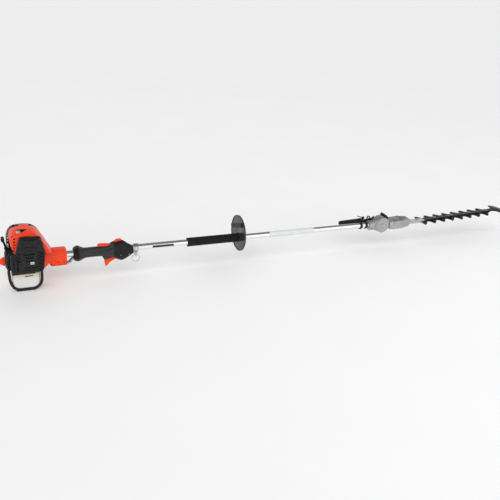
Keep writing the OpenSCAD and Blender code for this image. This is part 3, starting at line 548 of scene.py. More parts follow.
TUBE_BAND = finish_of(
    "band_on_tube", "band_film", (0.84, 0.85, 0.86), 0.18, metal=1.0, tone=0.02, grain=0.01, grain_scale=400,
    mask=position_mask(2, POLE_Z - 0.004, POLE_Z + 0.005, (0.05, 0.05, 0.052))
)

# ---- engine covers
HOOD_CENTRE = (22, 62)


def inward(p, depth, share=0.0):
    """An outline point moved depth mm towards the middle of the engine, then a share of the rest."""
    dx, dz = HOOD_CENTRE[0] - p[0], HOOD_CENTRE[1] - p[1]
    k = depth / hypot(dx, dz)
    k += (1 - k) * share
    return (p[0] + dx * k, p[1] + dz * k)


def hood_shell(name, arch, section, wall=2.4):
    path = curve_through(arch, 5)
    rings = []
    for y, depth, *share in section:
        rings.append([(x, y, z) for x, z in (inward(p, depth, *share) for p in path)])
    sheet = loft(name, rings, caps=False, loop=False)
    return modify(sheet, "SOLIDIFY", thickness=wall * MM, offset=0)


def engine_covers():
    arch = [
        (-30, 36), (-35, 52), (-40, 71), (-42.5, 86), (-41.5, 99.5), (-36, 110.5), (-25, 117.3), (-10, 120.2),
        (6, 121), (24, 119.8), (39, 116.5), (51, 110), (61, 98.5), (70, 83), (79, 66), (88, 48), (98, 31)
    ]
    section = [
        (-56.6, 34), (-57, 24), (-57, 14), (-56.4, 8.6), (-54, 4.4), (-50, 1.7), (-44, 0.4), (-36, -0.1), (-22, -0.8),
        (-6, -1.1), (10, -0.8), (21.4, -0.2)
    ]
    hood = hood_shell("engine_hood", arch, section)
    window = prism("window", [(-25, -41), (-3, -45), (18, -23), (23, -18), (-14, -9)], 100, 140, "z")
    holes = [block("hole", (-28 - 1.0 * k, -55, 104 - 11.6 * k), (6.4, 16, 6)) for k in range(5)]
    cut(hood, bevel(window, 2.5, 3, 40), *holes)
    notch = prism("notch", [(2, 112), (20, 112), (17, 118.5), (5, 118.5)], -60.5, -55)
    bridge = hood_shell(
        "bridge", [(-5, 119.6), (3, 121.8), (18, 121.4), (27, 118.4)],
        [(6, 2.6), (10, 0.4), (24, -0.4), (36, 0.6), (41, 3.2)], 2.6
    )
    join(hood, bevel(notch, 0.8), bevel(bridge, 0.7, 2))
    bevel(hood, 0.45, 2, 50)
    done(hood, "engine_hood", ORANGE, "engine_cover", angle=40)

    mesh_plate = slab("window_grille", -28, 27, -47, -5, 113.2, 114.4)
    gaps = [(-27 + 5 * j, -46 + 5 * k) for j in range(11) for k in range(8)]
    cut(mesh_plate, *[slab("gap", x, x + 3, y, y + 3, 110, 120) for x, y in gaps])
    done(bevel(mesh_plate, 0.2, 1), "window_grille", GRILLE)
    # The fins are painted light with the pale sheet, against the shade inside the window.
    fins = [slab("fin", x, x + w, -38, -11, 104, 117.6) for x, w in ((-20, 8), (-10.4, 3), (-5.6, 1.6))]
    done(bevel(join(*fins), 0.5, 2), "window_fins", PAINTED_LIGHT_SHEET)
    backing = [slab("backing", -37, -19, -51, -50, 52, 114), slab("backing", -33, 30, -50, 10, 104, 105)]
    done(bevel(join(*backing), 0.3, 1), "vent_backing", GRILLE)

    arch = [
        (-52, 40), (-52.5, 56), (-52, 72), (-50, 86), (-45, 100), (-36, 110.5), (-24, 116.4), (-6, 118.8),
        (12, 118.8), (30, 116.2), (44, 110.6), (56, 100.4), (65, 86.4), (72, 72), (79, 58), (84, 44)
    ]
    section = [
        (23.2, 3.2), (23.2, 0.6), (32, -0.1), (42, 0), (49, 0.9), (54, 3.2), (57, 7), (58.4, 13), (58.8, 22),
        (58.8, 22, 0.4), (58.8, 22, 0.75), (58.8, 22, 0.96)
    ]
    shroud = hood_shell("shroud", arch, section)
    rows = [50 + 10.5 * k for k in range(6)]
    slots = [slab("slot", -50.6 + 0.1 * k, -44.4 + 0.1 * k, 18, 64, z, z + 5.5) for k, z in enumerate(rows)]
    slots += [slab("slot", -60, -40, y, y + 7, z, z + 5.5) for z in rows[:5] for y in (28, 40)]
    slots += [slab("slot", x, x + 7, 26, 50, 112, 135) for x in (-38, -27, 32, 43)]
    cut(shroud, *slots)
    bevel(shroud, 0.4, 2, 50)
    done(shroud, "side_shroud_shell", BLACK, "side_shroud", angle=40)

    cowl = bevel(slab("rear_cowl", -47, -32, 23, 56, 24, 62), 3, 3)
    done(cowl, "rear_cowl", BLACK)
    corners = ((-20, 34, 10, 180), (30, 34, 10, 270), (26, 84, 14, 0), (-18, 86, 12, 90))
    cleaner = prism("cleaner", rounded(corners, 15), 60.3, 78)
    cut(bevel(cleaner, 2.2, 4, 30), slab("inside", -26, 36, 59, 74, 30, 92))
    cut(cleaner, *[bevel(slab("slot", -14 + 8 * k, -10 + 8 * k, 70, 84, 40, 62), 1.8, 3) for k in range(6)])
    cut(cleaner, rod("knob_dish", "y", 76, 84, 23, (4, 0, 78), edge=0))
    done(bevel(cleaner, 0.4, 2, 50), "air_cleaner_shell", BLACK, "air_cleaner_cover")
    knob = lathe("cleaner_knob", [(74.5, 7), (74.5, 9.5), (76.9, 9.5), (77.9, 8.6), (77.9, 0.1)], (4, 0, 78), "y")
    cut(knob, slab("slot", -4, 12, 76.4, 82, 77, 79))
    done(knob, "cleaner_knob", BLACK)


def muffler_shell():
    outline = [
        (-47, -25), (56, -29), (67, -19), (74, 48), (61, 112), (-11, 114), (-18, 92), (-25, 66), (-30, 50), (-47, 42)
    ]
    shell = bevel(prism("muffler_shell", outline, -75, -58.4), 6, 4, 25)
    cut(shell, prism("inside", inset(outline, 3), -72, -50))
    panel = bevel(
        prism("panel", [(-10, 58), (60, 56), (70, 82), (58, 109), (-7, 111), (-17, 88)], -78, -70), 4, 4, 25
    )
    weld(shell, panel)
    step = bevel(
        prism("step", [(-3, 66), (44, 64), (49, 76), (60, 105), (-5, 108), (-2, 78)], -76.4, -90), 1.5, 2, 25
    )
    cut(shell, step)
    raised = bevel(prism("raised", [(4, 79), (42, 77), (56, 103), (-1, 105)], -79.9, -74), 3.0, 3, 25)
    lip = bevel(prism("lip", [(5, 67), (40, 65.6), (43, 75.4), (3, 77.4)], -78.8, -74), 1.4, 3, 25)
    weld(shell, raised, lip)
    cuts = [slab("slit", 13, 31, -90, -78.6, 91, 93.4)]
    for x0, x1, z in ((-4, 39, 43), (2, 33, 30), (4, 30, 17.5)):
        louvre = [(x0, z + 8), (x0 + 5, z), (x1 - 5, z), (x1, z + 8), (x1 - 9, z + 5), (x0 + 9, z + 5)]
        cuts.append(prism("louvre", louvre, -90, -72))
    for z in [55 - SLASH_PITCH * k for k in range(6)]:
        cuts.append(prism("slash", [(46, z), (65, z - 13), (66, z - 7), (46, z + 6)], -90, -72))
    for z in [56 - SLASH_PITCH * k for k in range(3)]:
        cuts.append(prism("slash", [(-13, z - 12), (-12, z - 6), (-29, z + 5), (-29, z - 1)], -90, -72))
    cuts += [slab("long_slot", 0, 48, -90, -70, -8, -4.4), slab("tall_slot", -27, -20.6, -90, -70, -17, 32)]
    cuts.append(slab("outlet_hole", 19, 34, -90, -70, 6, 17))
    cut(shell, *cuts)
    ribs = []
    for z in [48 - SLASH_PITCH * k for k in range(5)]:
        rib = prism("rib", [(45, z), (64.5, z - 13.4), (64.5, z - 9.4), (45, z + 4)], -77.6, -73)
        ribs.append(bevel(rib, 0.9, 2))
    ribs += [bevel(slab("rib", x, x + 1.6, -77.4, -75, -18, 34), 0.5, 2) for x in (-40, -36)]
    ribs.append(bevel(slab("rib", -12, 44, -77.4, -75, -19.4, -16), 0.8, 2))
    join(shell, *ribs)
    bevel(shell, 0.35, 1, 55)
    done(shell, "muffler_shell", BLACK, "muffler_cover", angle=38)
    # The outlet takes the same pale sheet, painted lighter than its steel.
    outlet = cut(bevel(slab("outlet", 20, 33, -77.4, -66, 7, 16), 1.0, 2), slab("mouth", 22, 31, -90, -68, 9, 14))
    done(outlet, "exhaust_outlet", PAINTED_LIGHT_SHEET)
    baffle = prism("inner_baffle", inset(outline, 5), -68.4, -67)
    cut(baffle, slab("opening", 0, 36, -75, -60, 4, 56))
    done(bevel(baffle, 0.3, 1), "inner_baffle", GRILLE)
    # The heat shield is painted light with the pale sheet, so it shows bright through the louvres despite the shade.
    heat = slab("heat_shield", -12, 44, -66.6, -65.6, 0, 62)
    cut(heat, *[slab("gap", -8 + 7 * k, -5.5 + 7 * k, -75, -60, 6, 56) for k in range(7)])
    done(bevel(heat, 0.3, 1), "heat_shield", PAINTED_LIGHT_SHEET)
    corners = [(-41, 0, 32), (60, 0, -16), (55, 0, 104), (-8, 0, 108)]
    screws = [rod("screw", "y", -77.6, -73, 7, corner) for corner in corners]
    sockets = [rod("socket", "y", -80, -76, 3.2, corner) for corner in corners]
    done(cut(join(*screws), *sockets), "cover_screws", COATED)


def drum_and_collar():
    profile = [(36, 45), (37, 49), (39, 50), (58, 51), (64, 50), (70, 47), (78, 41), (86, 34), (94, 28.5), (102, 26)]
    bell = lathe("bell", profile + [(102, 0.5)], sides=128)
    cut(bell, rod("hollow", "x", 30, 57, 92))
    rings = []
    for x, y, top, low in (
        (92, 17, 22, -34), (97, 22, 25, -38), (101, 24.5, 26, -39), (126, 24.5, 26, -39), (150, 24, 25.8, -38.8),
        (154, 23, 25, -38), (155, 22, 24, -37)
    ):
        zc, hz = (top + low) / 2, (top - low) / 2
        ring = []
        for k in range(48):
            a = 2 * pi * (k + 0.5) / 48
            c, s = cos(a), sin(a)
            ring.append((x, y * copysign(abs(c) ** 0.34, c), zc + hz * copysign(abs(s) ** 0.34, s)))
        rings.append(ring)
    collar = loft("collar", rings)
    weld(bell, collar)
    cuts = [rod("bore", "x", 100, 160, 2 * TUBE_R + 0.6, edge=0), slab("slit", 128, 160, -0.9, 0.9, -50, 0)]
    cuts += [rod("recess", "y", -40, -20.6, 10.5, (x, 0, -20), edge=0) for x in (122, 146)]
    cuts += [block("groove", (126, s * 25, z), (50, 2.2, 1.6)) for s in (-1, 1) for z in (8, -6)]
    cuts += [
        rod("cable_hole", "x", 120, 160, 10, (0, -8, -32), edge=0),
        rod("bulb_room", "y", 36, 60, 25, (30, 0, 22), edge=0)
    ]
    cut(bell, *cuts)
    foot = bevel(prism("lug", [(40, -30), (62, -30), (58, -56), (50, -60), (40, -58)], -14, 14), 2, 3)
    weld(bell, foot)
    bevel(bell, 0.6, 2, 45)
    done(bell, "clutch_bell", ORANGE, "clutch_housing", angle=40)


def starter():
    shell = copy_of("starter_housing")
    done(bevel(shell, 1.1, 3, 28), "starter_shell", BLACK, "starter_housing")
    side = bevel(prism("starter_side", [(-60, -30), (-31, -31), (-31, 36), (-48, 40), (-58, 24)], -38, -30), 3, 4, 25)
    cut(side, slab("groove", -36, -34.4, -42, -37, -24, 30))
    done(side, "starter_side_panel", BLACK)
    lean = atan(0.26 / 0.966)
    base = Vector((-54, 20, 32))
    up = Vector((-sin(lean), 0, cos(lean)))

    def on_rope(t, y=0.0):
        p = base + up * t
        return (p.x, p.y + y, p.z)

    stem = sweep(
        "stem", [on_rope(t) for t in (9.7, 11, 14, 18, 20, 23, 26, 29, 32, 37, 40, 43)],
        lambda s: 4.6 - 0.9 * sin(3 * pi * s) ** 2, 24
    )
    bar = sweep(
        "bar", [on_rope(43.4, y) for y in (-16.5, -15.5, -13, -8, 0, 8, 13, 15.5, 16.5)],
        lambda s: 6.0 * max(0.35, 1 - abs(2 * s - 1) ** 6) ** 0.5 + 0.3, 28
    )
    grip = cast(weld(bar, stem), 0.7, 5)
    done(grip, "starter_handle", GRILLE, "starter_grip", body="starter_pull", angle=60)
    cord = sweep(
        "starter_cord", [on_rope(t) for t in (-7, -3, 0, 1, 2, 3, 4, 5, 6, 7, 8, 9, 10, 14, 22, 35)], 1.7, 14
    )
    done(cord, "starter_cord", ROPE, "starter_rope", body=None, even=False)
    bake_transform(cord)


# ---- fuel system
def fuel_system():
    half = [(49.6, 13), (49.2, 9), (47.8, 5.2), (45, 2.2), (41, 0.6), (36, 0), (4, 0), (3, 0.7)]
    rings = []
    for y, d in [(-y, d) for y, d in half] + half[::-1]:
        x0, x1, z0, z1 = -46.5 + d, 52.5 - d, -104.5 + d, -41.6 - 0.4 * d
        low, top = max(12, 27 - d), 7
        corners = (
            (x0 + low, z0 + low, low, 180), (x1 - low, z0 + low, low, 270), (x1 - top, z1 - top, top, 0),
            (x0 + top, z1 - top, top, 90)
        )
        rings.append([(x, y, z) for x, z in rounded(corners, 9)])
    tank = loft("tank", rings)
    neck = sweep(
        "neck", [(-32, 36, -58), (-42, 42, -44), (-52, 46, -31), (-57, 46, -28.6), (-62, 46, -28)],
        lambda s: 17 - 3 * s, 32
    )
    collar = rod("neck_ring", "x", -66.5, -60, 27, CAP_CENTRE)
    join(tank, neck, collar)
    done(tank, "fuel_tank_shell", MILKY, "fuel_tank", angle=50)
    slit = bevel(slab("tank_slit", -2, 28, -50.6, -47, -54, -50.4), 0.9, 3)
    done(slit, "tank_vent_slit", BLACK)

    cap = lathe("fuel_cap", [
        (-63, 12), (-63, 15.6), (-64, 17), (-69, 17.2), (-71, 16.4), (-77, 12), (-84, 7), (-88.6, 4), (-90, 2.4),
        (-90, 0.1)
    ], CAP_CENTRE, sides=72)
    turns = [radians(30 * k) for k in range(12)]
    flutes = [(0, CAP_CENTRE[1] + 17.8 * cos(a), CAP_CENTRE[2] + 17.8 * sin(a)) for a in turns]
    cut(cap, *[rod("flute", "x", -100, -66.5, 3, spot, edge=0) for spot in flutes])
    done(bevel(cap, 0.5, 2, 40), "fuel_cap_shell", ORANGE, "fuel_cap", body="cap")

    def loop_path(y, left_top):
        return curve_through([
            (-55.5, y, left_top), (-54.5, y, -48), (-53, y, -66), (-48, y, -84), (-40, y, -97), (-30, y, -103.6),
            (-18, y, -106.2), (4, y, -106.4), (26, y, -106.2), (38, y, -103.2), (49, y, -95), (56, y, -82),
            (58.6, y, -66), (59, y, -50), (59, y, -38)
        ], 5)

    bars = [sweep("guard", loop_path(y, top), 5.4, 18, 0.95) for y, top in ((-46, -30), (46, -70))]
    bars += [rod("cross", "y", -46, 46, 7, (-53.4, 0, -72)), rod("cross", "y", -46, 46, 7, (59, 0, -46))]
    bars.append(bevel(slab("foot", -34, 34, -50, 50, -POLE_Z / MM, -POLE_Z / MM + 5), 1.6, 3))
    bars.append(bevel(slab("tab", -60, -50, -50.4, -41, -46, -14), 2, 3))
    guard = bars[0]
    weld(guard, *bars[1:])
    done(guard, "tank_guard_bars", COATED, "tank_guard", angle=45)


# ---- rear handle and its controls
# Along the handle: X, height of the middle, half width, half height, squareness (2 is an ellipse)
HANDLE_SECTIONS = [
    (181, -3, 20, 21, 2.6), (184, -3, 22.6, 23.4, 2.6), (190, -2.6, 26.6, 26.6, 2.6), (196, -2.4, 28.4, 28, 2.6),
    (203, -2.6, 28.2, 27.4, 2.6), (211, -3.4, 25, 24, 2.5), (220, -3, 20.6, 20.6, 2.4), (228, -2.4, 19.4, 19.4, 2.3),
    (244, -2, 19, 19, 2.3), (270, -2, 19, 19.2, 2.3), (292, -2.2, 19.4, 20, 2.3), (306, -2, 20.2, 21.6, 2.3),
    (320, -0.6, 21.4, 26.6, 2.2), (334, 0, 22.6, 33, 2.1), (348, -1.6, 23.6, 40, 2.0), (360, -3.4, 24, 43.6, 1.9),
    (368, -5, 23.8, 43.6, 1.9), (376, -6.4, 23.2, 40, 1.9), (386, -7.4, 22, 33, 2.0), (396, -7.6, 20.4, 26, 2.1),
    (405, -7, 18.6, 20, 2.2), (412, -6.4, 16.6, 16.8, 2.2)
]


def handle_half(side):
    """One half of the rear handle; side is 1 for the left half and -1 for the right."""
    hand = "left" if side > 0 else "right"

    def flank(near, far=30):
        return sorted((side * near, side * far))

    path = curve_through(HANDLE_SECTIONS, 4)
    n = 32
    rings = []
    for x, zc, hy, hz, square in path:
        faceted = min(1, max(0, (222 - x) / 9))
        ring = []
        for k in range(n + 1):
            a = pi * k / n - pi / 2
            c, s = cos(a), sin(a)
            flat = 1 / max(abs(c), abs(s), (abs(c) + abs(s)) * 0.7071)
            y = hy * (faceted * flat * c + (1 - faceted) * abs(c) ** (2 / square))
            z = hz * (faceted * flat * s + (1 - faceted) * copysign(abs(s) ** (2 / square), s))
            ring.append((x, side * (y + SEAM_GAP), zc + z))
        rings.append(ring)
    half = loft("handle_half", rings)
    guard_outline = [(287, -16), (297.6, -37), (305, -37.6), (318, -34.4), (334, -30), (352, -28), (352, -16)]
    guard = bevel(prism("trigger_guard", guard_outline, *flank(SEAM_GAP, 10)), 2.2, 3)
    weld(half, guard)
    seam = [(236, 2.2), (300, 4.4), (318, 8), (334, 16), (333, 18.5), (316, 10.8), (299, 7), (236, 4.6)]
    cuts = [
        rod("bore", "x", 170, 420, 2 * TUBE_R + 0.1, edge=0), slab("trigger_slot", 289, 353, -5.6, 5.6, -62, -14.5),
        slab("lock_slot", 267, 335, -6.6, 6.6, 13.2, 44), slab("switch_slot", 336.6, 373, -7.1, 7.1, 24, 62),
        slab("top_groove", 373, 388, -1, 1, 30, 62), prism("seam", seam, *flank(16.4)),
        prism("chevron", [(183, 12), (206, -4), (183, -20), (188, -22), (212, -4), (188, 14)], *flank(24.5)),
        block("edge_groove", (335.6, side * 22, 0), (1.8, 8, 80), (0, 6, 0))
    ]
    cuts += [block("grip_line", (366 + 7 * k, side * 24.6, -16), (1.4, 3.4, 30), (0, 24, 0)) for k in range(5)]
    if side < 0:
        cuts += [rod("screw_hole", "y", -40, -14, 7, (x, 0, -20), edge=0) for x in HANDLE_SCREWS_X]
    cut(half, *cuts)
    bevel(half, 0.5, 2, 50)
    done(half, "handle_shell_" + hand, HANDLE, "handle_" + hand, angle=42)


def controls():
    trigger = copy_of("trigger")
    web = prism(
        "web", [(300, -34), (305.4, -64.6), (308, -65), (320, -51), (333, -43), (343, -39.6), (342, -30)], -5.2, 5.2
    )
    weld(trigger, web)
    bevel(trigger, 1.3, 3, 28)
    done(trigger, "trigger_lever", ORANGE, "trigger", body="trigger")
    lock = bevel(copy_of("lockout_lever"), 1.2, 3, 28)
    done(lock, "lockout_paddle", ORANGE, "lockout_lever", body="lockout")
    switch = copy_of("stop_switch")
    cut(switch, prism("slope", [(330, 33), (349, 42.4), (372, 43.4), (372, 60), (330, 60)], -12, 12))
    bevel(switch, 1.3, 3, 28)
    done(switch, "stop_switch_slider", ORANGE, "stop_switch", body="switch")
    route = [
        (104, -8, -32), (124, -8, -32), (144, -8, -32), (154, -8, -32), (160, -8, -32), (164, -8, -31),
        (168, -8, -28), (171, -7.5, -24), (174, -7, -20), (178, -7, -17), (183, -7, -16), (196, -7, -16),
        (220, -7, -16), (250, -7, -16), (284, -7, -16)
    ]
    bare = sweep("throttle_cable_core", curve_through(route, 4), 2.4, 14)
    done(bare, "throttle_cable_core", SHEATH, "throttle_cable")
    ribbed = curve_through(route[3:11], 26)
    ribs = len(ribbed) / 6.5
    sleeve = sweep("cable_sleeve", ribbed, lambda s: 5.1 + 0.75 * sin(2 * pi * ribs * s), 20)
    done(sleeve, "cable_sleeve", SHEATH, angle=60)
    wire = []
    for i, p in enumerate(ribbed[:-1]):
        a = i * 2 * pi / 9
        wire.append((p[0], p[1] + 5.6 * cos(a), p[2] + 5.6 * sin(a)))
    done(sweep("sleeve_spiral", wire, 0.85, 8), "sleeve_spiral", PLATED, even=False)


# ---- on the pole
def pole_fittings():
    clamp = bevel(copy_of("hanger_clamp"), 0.9, 3, 28)
    done(clamp, "hanger_band", PLATED, "hanger_clamp")
    steps = ((-11, 11, 5), (-12.4, -8, 9), (7.6, 11, 9))
    done(join(*[rod("bolt", "y", lo, hi, d, HANGER_BOLT) for lo, hi, d in steps]), "hanger_bolt", PLATED)

    lo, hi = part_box("front_grip")
    x0, x1 = lo.x / MM, hi.x / MM
    rings = []
    steps = 300
    sides = 72
    for i in range(steps + 1):
        x = x0 + (x1 - x0) * i / steps
        ring = []
        for k in range(sides):
            a = 2 * pi * k / sides
            if i in (0, steps):
                r = TUBE_R + 0.2
            elif x < x0 + 4.4:
                r = 19.3 - 0.5 * abs(x - x0 - 2.2)
            elif x < x0 + 7 or x > x1 - 4:
                r = 16.6
            else:
                wave = (x - x0) / 8.6 + 0.5 * abs(((a / pi + 0.5) % 2) - 1)
                ridge = 0.5 - 0.5 * cos(2 * pi * wave)
                r = 16.7 + 1.9 * ridge ** 0.6 + 0.25 * sin(8 * a)
            ring.append((x, r * cos(a), r * sin(a)))
        rings.append(ring)
    grip = loft("front_grip_foam", rings)
    done(grip, "front_grip_foam", RUBBER, "front_grip", angle=50, even=False)

    clo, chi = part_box("hand_guard")
    disc_z = (chi.z + clo.z) / 2 / MM - POLE_Z / MM
    disc_r = (chi.z - clo.z) / 2 / MM
    disc = lathe("guard_disc", [
        (-2.4, disc_r - 0.7), (-1.6, disc_r), (3.4, disc_r), (4, disc_r - 0.7), (4, disc_r - 2.4), (3, disc_r - 3.4),
        (1.2, disc_r - 22), (2.4, 34), (3, 20), (3, 6), (0.4, 6), (0, 20), (-0.6, 34), (-1.4, disc_r - 22),
        (0, disc_r - 3.4), (-2.4, disc_r - 2.4)
    ], (GUARD_X, 0, disc_z), ring=True, sides=128)
    weld(disc, rod("plug", "x", GUARD_X + 0.4, GUARD_X + 3, 16, (0, 0, disc_z)))
    cut(disc, rod("bore", "x", GUARD_X - 9, GUARD_X + 40, 30, edge=0))
    done(disc, "hand_guard_disc", SMOKE, "hand_guard", angle=35)
    hub = lathe("guard_hub", [
        (-4, 14), (-4, 19), (1, 20.5), (5, 20.5), (7, 18.6), (24, 18), (27, 17.4), (28, 16), (28, TUBE_R + 0.05),
        (-4, TUBE_R + 0.05)
    ], (GUARD_X, 0, 0), ring=True)
    fins = []
    for k in range(10):
        a = radians(36 * k + 18)
        fin = block("fin", (GUARD_X + 14, 18.6 * cos(a), 18.6 * sin(a)), (21, 4, 3.0), (degrees(a), 0, 0))
        fins.append(bevel(fin, 0.8, 2))
    weld(hub, *fins)
    done(bevel(hub, 0.5, 2, 45), "hand_guard_hub", BLACK)
    lean = -21.7
    across = Vector((0, cos(radians(lean)), sin(radians(lean))))
    rise = Vector((0, -across.z, across.y))

    def on_band(x, along, size):
        """A box square to the band, x mm ahead of the disc and along mm from the band's middle."""
        return block("bar", Vector((GUARD_X + x, 0, disc_z)) + across * along + rise * 32, size, (lean, 0, 0))

    band = bevel(on_band(-5, 4, (4, 114, 20)), 1.4, 3)
    ends = [bevel(on_band(-1.5, 4 + s * 54, (9, 5, 19)), 1.2, 3) for s in (-1, 1)]
    weld(band, *ends, bevel(on_band(5, 4, (2.4, 112, 18)), 0.8, 2))
    cut(band, *[on_band(-8, 4 + 16 * k, (3.2, 3, 14)) for k in range(-3, 4)])
    done(bevel(band, 0.3, 1, 50), "hand_guard_band", BLACK)

    def band_round(name, x0, x1, top, low=0.02, sides=CYLINDER_SIDES):
        """A band round the pole, from low to top mm off its surface."""
        profile = [(x, TUBE_R + h) for x, h in ((x0, low), (x0, top), (x1, top), (x1, low))]
        return lathe(name, profile, ring=True, sides=sides)

    done(band_round("label", 1010, 1228, 0.22), "plain_label", FILM, "tube_bands", even=False)
    done(band_round("decal", 490, 578, 0.2), "plain_band", TUBE_BAND, even=False)
    clips = []
    for x in (1472, 1500):
        lug = bevel(slab("lug", x + 1, x + 11, -5, 5, -TUBE_R - 4.5, -TUBE_R - 0.6), 1.0, 2)
        clips.append(weld(band_round("clip", x, x + 12, 2, 0.05, 64), lug))
    done(bevel(join(*clips), 0.5, 2, 45), "cable_clips", BLACK)


# ---- head and cutter
def bolts(name, spots, d, lo, hi, axis, body, head=True):
    """Socket screws at spots, from lo to hi along an axis."""
    parts = [rod("bolt", axis, lo, hi, d, spot, head) for spot in spots]
    socket = [(hi - 0.35 * (hi - lo), d * 0.27), (hi + 2, d * 0.27)]
    holes = [lathe("socket", socket, spot, axis, head, sides=6) for spot in spots]
    done(cut(join(*parts), join(*holes)), name, PLATED, body=body)


def gearcases():
    upper = copy_of("upper_gearcase")
    collar = [rod("rim", "x", x, x + 3, 41) for x in (1520, 1543)]
    for ring in collar:
        cut(ring, rod("bore", "x", 1500, 1560, 2 * TUBE_R + 0.1, edge=0))
    drum_ring = lathe("drum_ring", [(-26, 27), (-26, 31), (-23, 33.5), (-23, 27)], PIVOT, "y", ring=True)
    web = [block("web", (1555, -12, s * 19), (36, 5, 4), (0, s * -18, 0)) for s in (-1, 1)]
    weld(upper, *collar, drum_ring, *web)
    cut(upper, slab("slit", 1515, 1549, -0.9, 0.9, -40, 0))
    cast(upper, 0.85, 5)
    done(upper, "upper_gearcase_casting", CAST, "upper_gearcase", angle=70, even=False)
    bolts("collar_bolts", [(1526, 0, -20), (1541, 0, -20)], 7.5, 10, 13.5, "y", "root", head=False)
    nut = join(
        rod("washer", "y", 27, 28, 17, PIVOT),
        lathe("nut", [(28, 7.4), (28.4, 7.8), (32.4, 7.8), (33, 7.0)], PIVOT, "y", sides=6)
    )
    done(nut, "pivot_nut", PLATED)
    cap = lathe("pivot_cap", [(-28.6, 4.5), (-28.6, 8.6), (-27.6, 9.6), (-25.6, 9.8), (-25.6, 1)], PIVOT, "y")
    cut(cap, lathe("socket", [(-32, 3.6), (-27.4, 3.6)], PIVOT, "y", sides=6))
    done(cap, "pivot_cap", PLATED)

    lower = copy_of("lower_gearcase")
    extras = []
    for k in range(4):
        x = 1704 + 9.5 * k
        h = 17 + 1.6 * (3 - k)
        w = 15 - 0.8 * k
        outline = [(x, 6), (x + 4.2, 6), (x + 4.2, h - 4), (x - 1.5, h), (x - 3, h - 1)]
        extras.append(bevel(prism("fin", outline, -w, w, "y", True), 1.0, 2))
    dome = [(10, 22), (12.5, 21), (15, 16), (16, 9), (16, 0.5)]
    extras.append(lathe("spindle_dome", dome, (CAM_X, 0, 0), "z", True))
    extras += [rod("boss", "z", -11, 14, 9.5, spot, True, 1.2) for spot in CASE_SCREWS]
    extras.append(prism("spine", [(1625, 10), (1655, 15.5), (1655, 10)], -3, 3, "y", True))
    rail = [(1652, 31), (1694, 31), (1722, 22), (1741, 18), (1741, 15), (1720, 19), (1692, 27), (1652, 27)]
    extras += [prism("rail", [(x, s * y) for x, y in rail], -12, 13.4, "z", True) for s in (-1, 1)]
    join(lower, *extras)
    cast(lower, 0.85, 5)
    cut(lower, rod("bore", "y", 16, 25, 11, PIVOT, edge=0))
    done(lower, "lower_gearcase_casting", CAST, "lower_gearcase", body="head", angle=70, even=False)

    cover = copy_of("gearcase_cover")
    ribs = [block("rib", (x, 0, -25.6), (2.6, 46, 2.2), head=True) for x in (1652, 1664, 1676, 1688)]
    join(cover, *ribs)
    cast(cover, 0.85, 5)
    done(cover, "gearcase_cover_casting", CAST, "gearcase_cover", body="head", angle=70, even=False)
    bolts("gearcase_bolts", CASE_SCREWS, 7, 13.6, 17, "z", "head")


def lever():
    arm = copy_of("lever_arm")
    cast(bevel(arm, 0.8, 2, 28), 0.75, 3)
    done(arm, "lever_arm_plate", COATED, "lever_arm", body="head", angle=60, even=False)
    x0, x1 = LEVER_GRIP_X
    profile = [(x0, 0.5), (x0, 8), (x0 + 1, 9.6), (x0 + 3.4, 10.2), (x0 + 3.6, 11.6), (x0 + 5, 12.5)]
    x = x0 + 9
    while x < x1 - 12:
        profile += [(x, 12.5), (x + 0.7, 11.9), (x + 2.0, 11.9), (x + 2.7, 12.5)]
        x += 5.6
    profile += [(x1 - 7, 12.5), (x1 - 6, 13.5), (x1 - 0.6, 13.5), (x1, 12.8), (x1, 8.1), (x1 - 106, 8.1)]
    grip = lathe("lever_grip_tube", profile + [(x1 - 106, 0.5)], (0, 34, 11.5), "x", True, sides=72)
    done(grip, "lever_grip_tube", RUBBER, "lever_grip", body="head", angle=50, even=False)
    release = bevel(copy_of("release_lever"), 0.8, 2, 28)
    done(release, "release_paw", COATED, "release_lever", body="release")
    plate = bevel(copy_of("quadrant"), 0.5, 2, 28)
    done(plate, "quadrant_plate", COATED, "quadrant")


def tooth(x, back):
    """One swept tooth; its tip lies back mm nearer the engine than its root."""
    return [
        (x - 20, 15), (x - 14, 16.6), (x - 9 - 0.2 * back, 21), (x - 5 - 0.5 * back, 31), (x - 3 - 0.85 * back, 41.5),
        (x - 1.6 - back, 46), (x + 1.4 - back, 46), (x + 3.4 - 0.85 * back, 42), (x + 8 - 0.5 * back, 31),
        (x + 12 - 0.2 * back, 22), (x + 18, 16.8), (x + 25, 15)
    ]


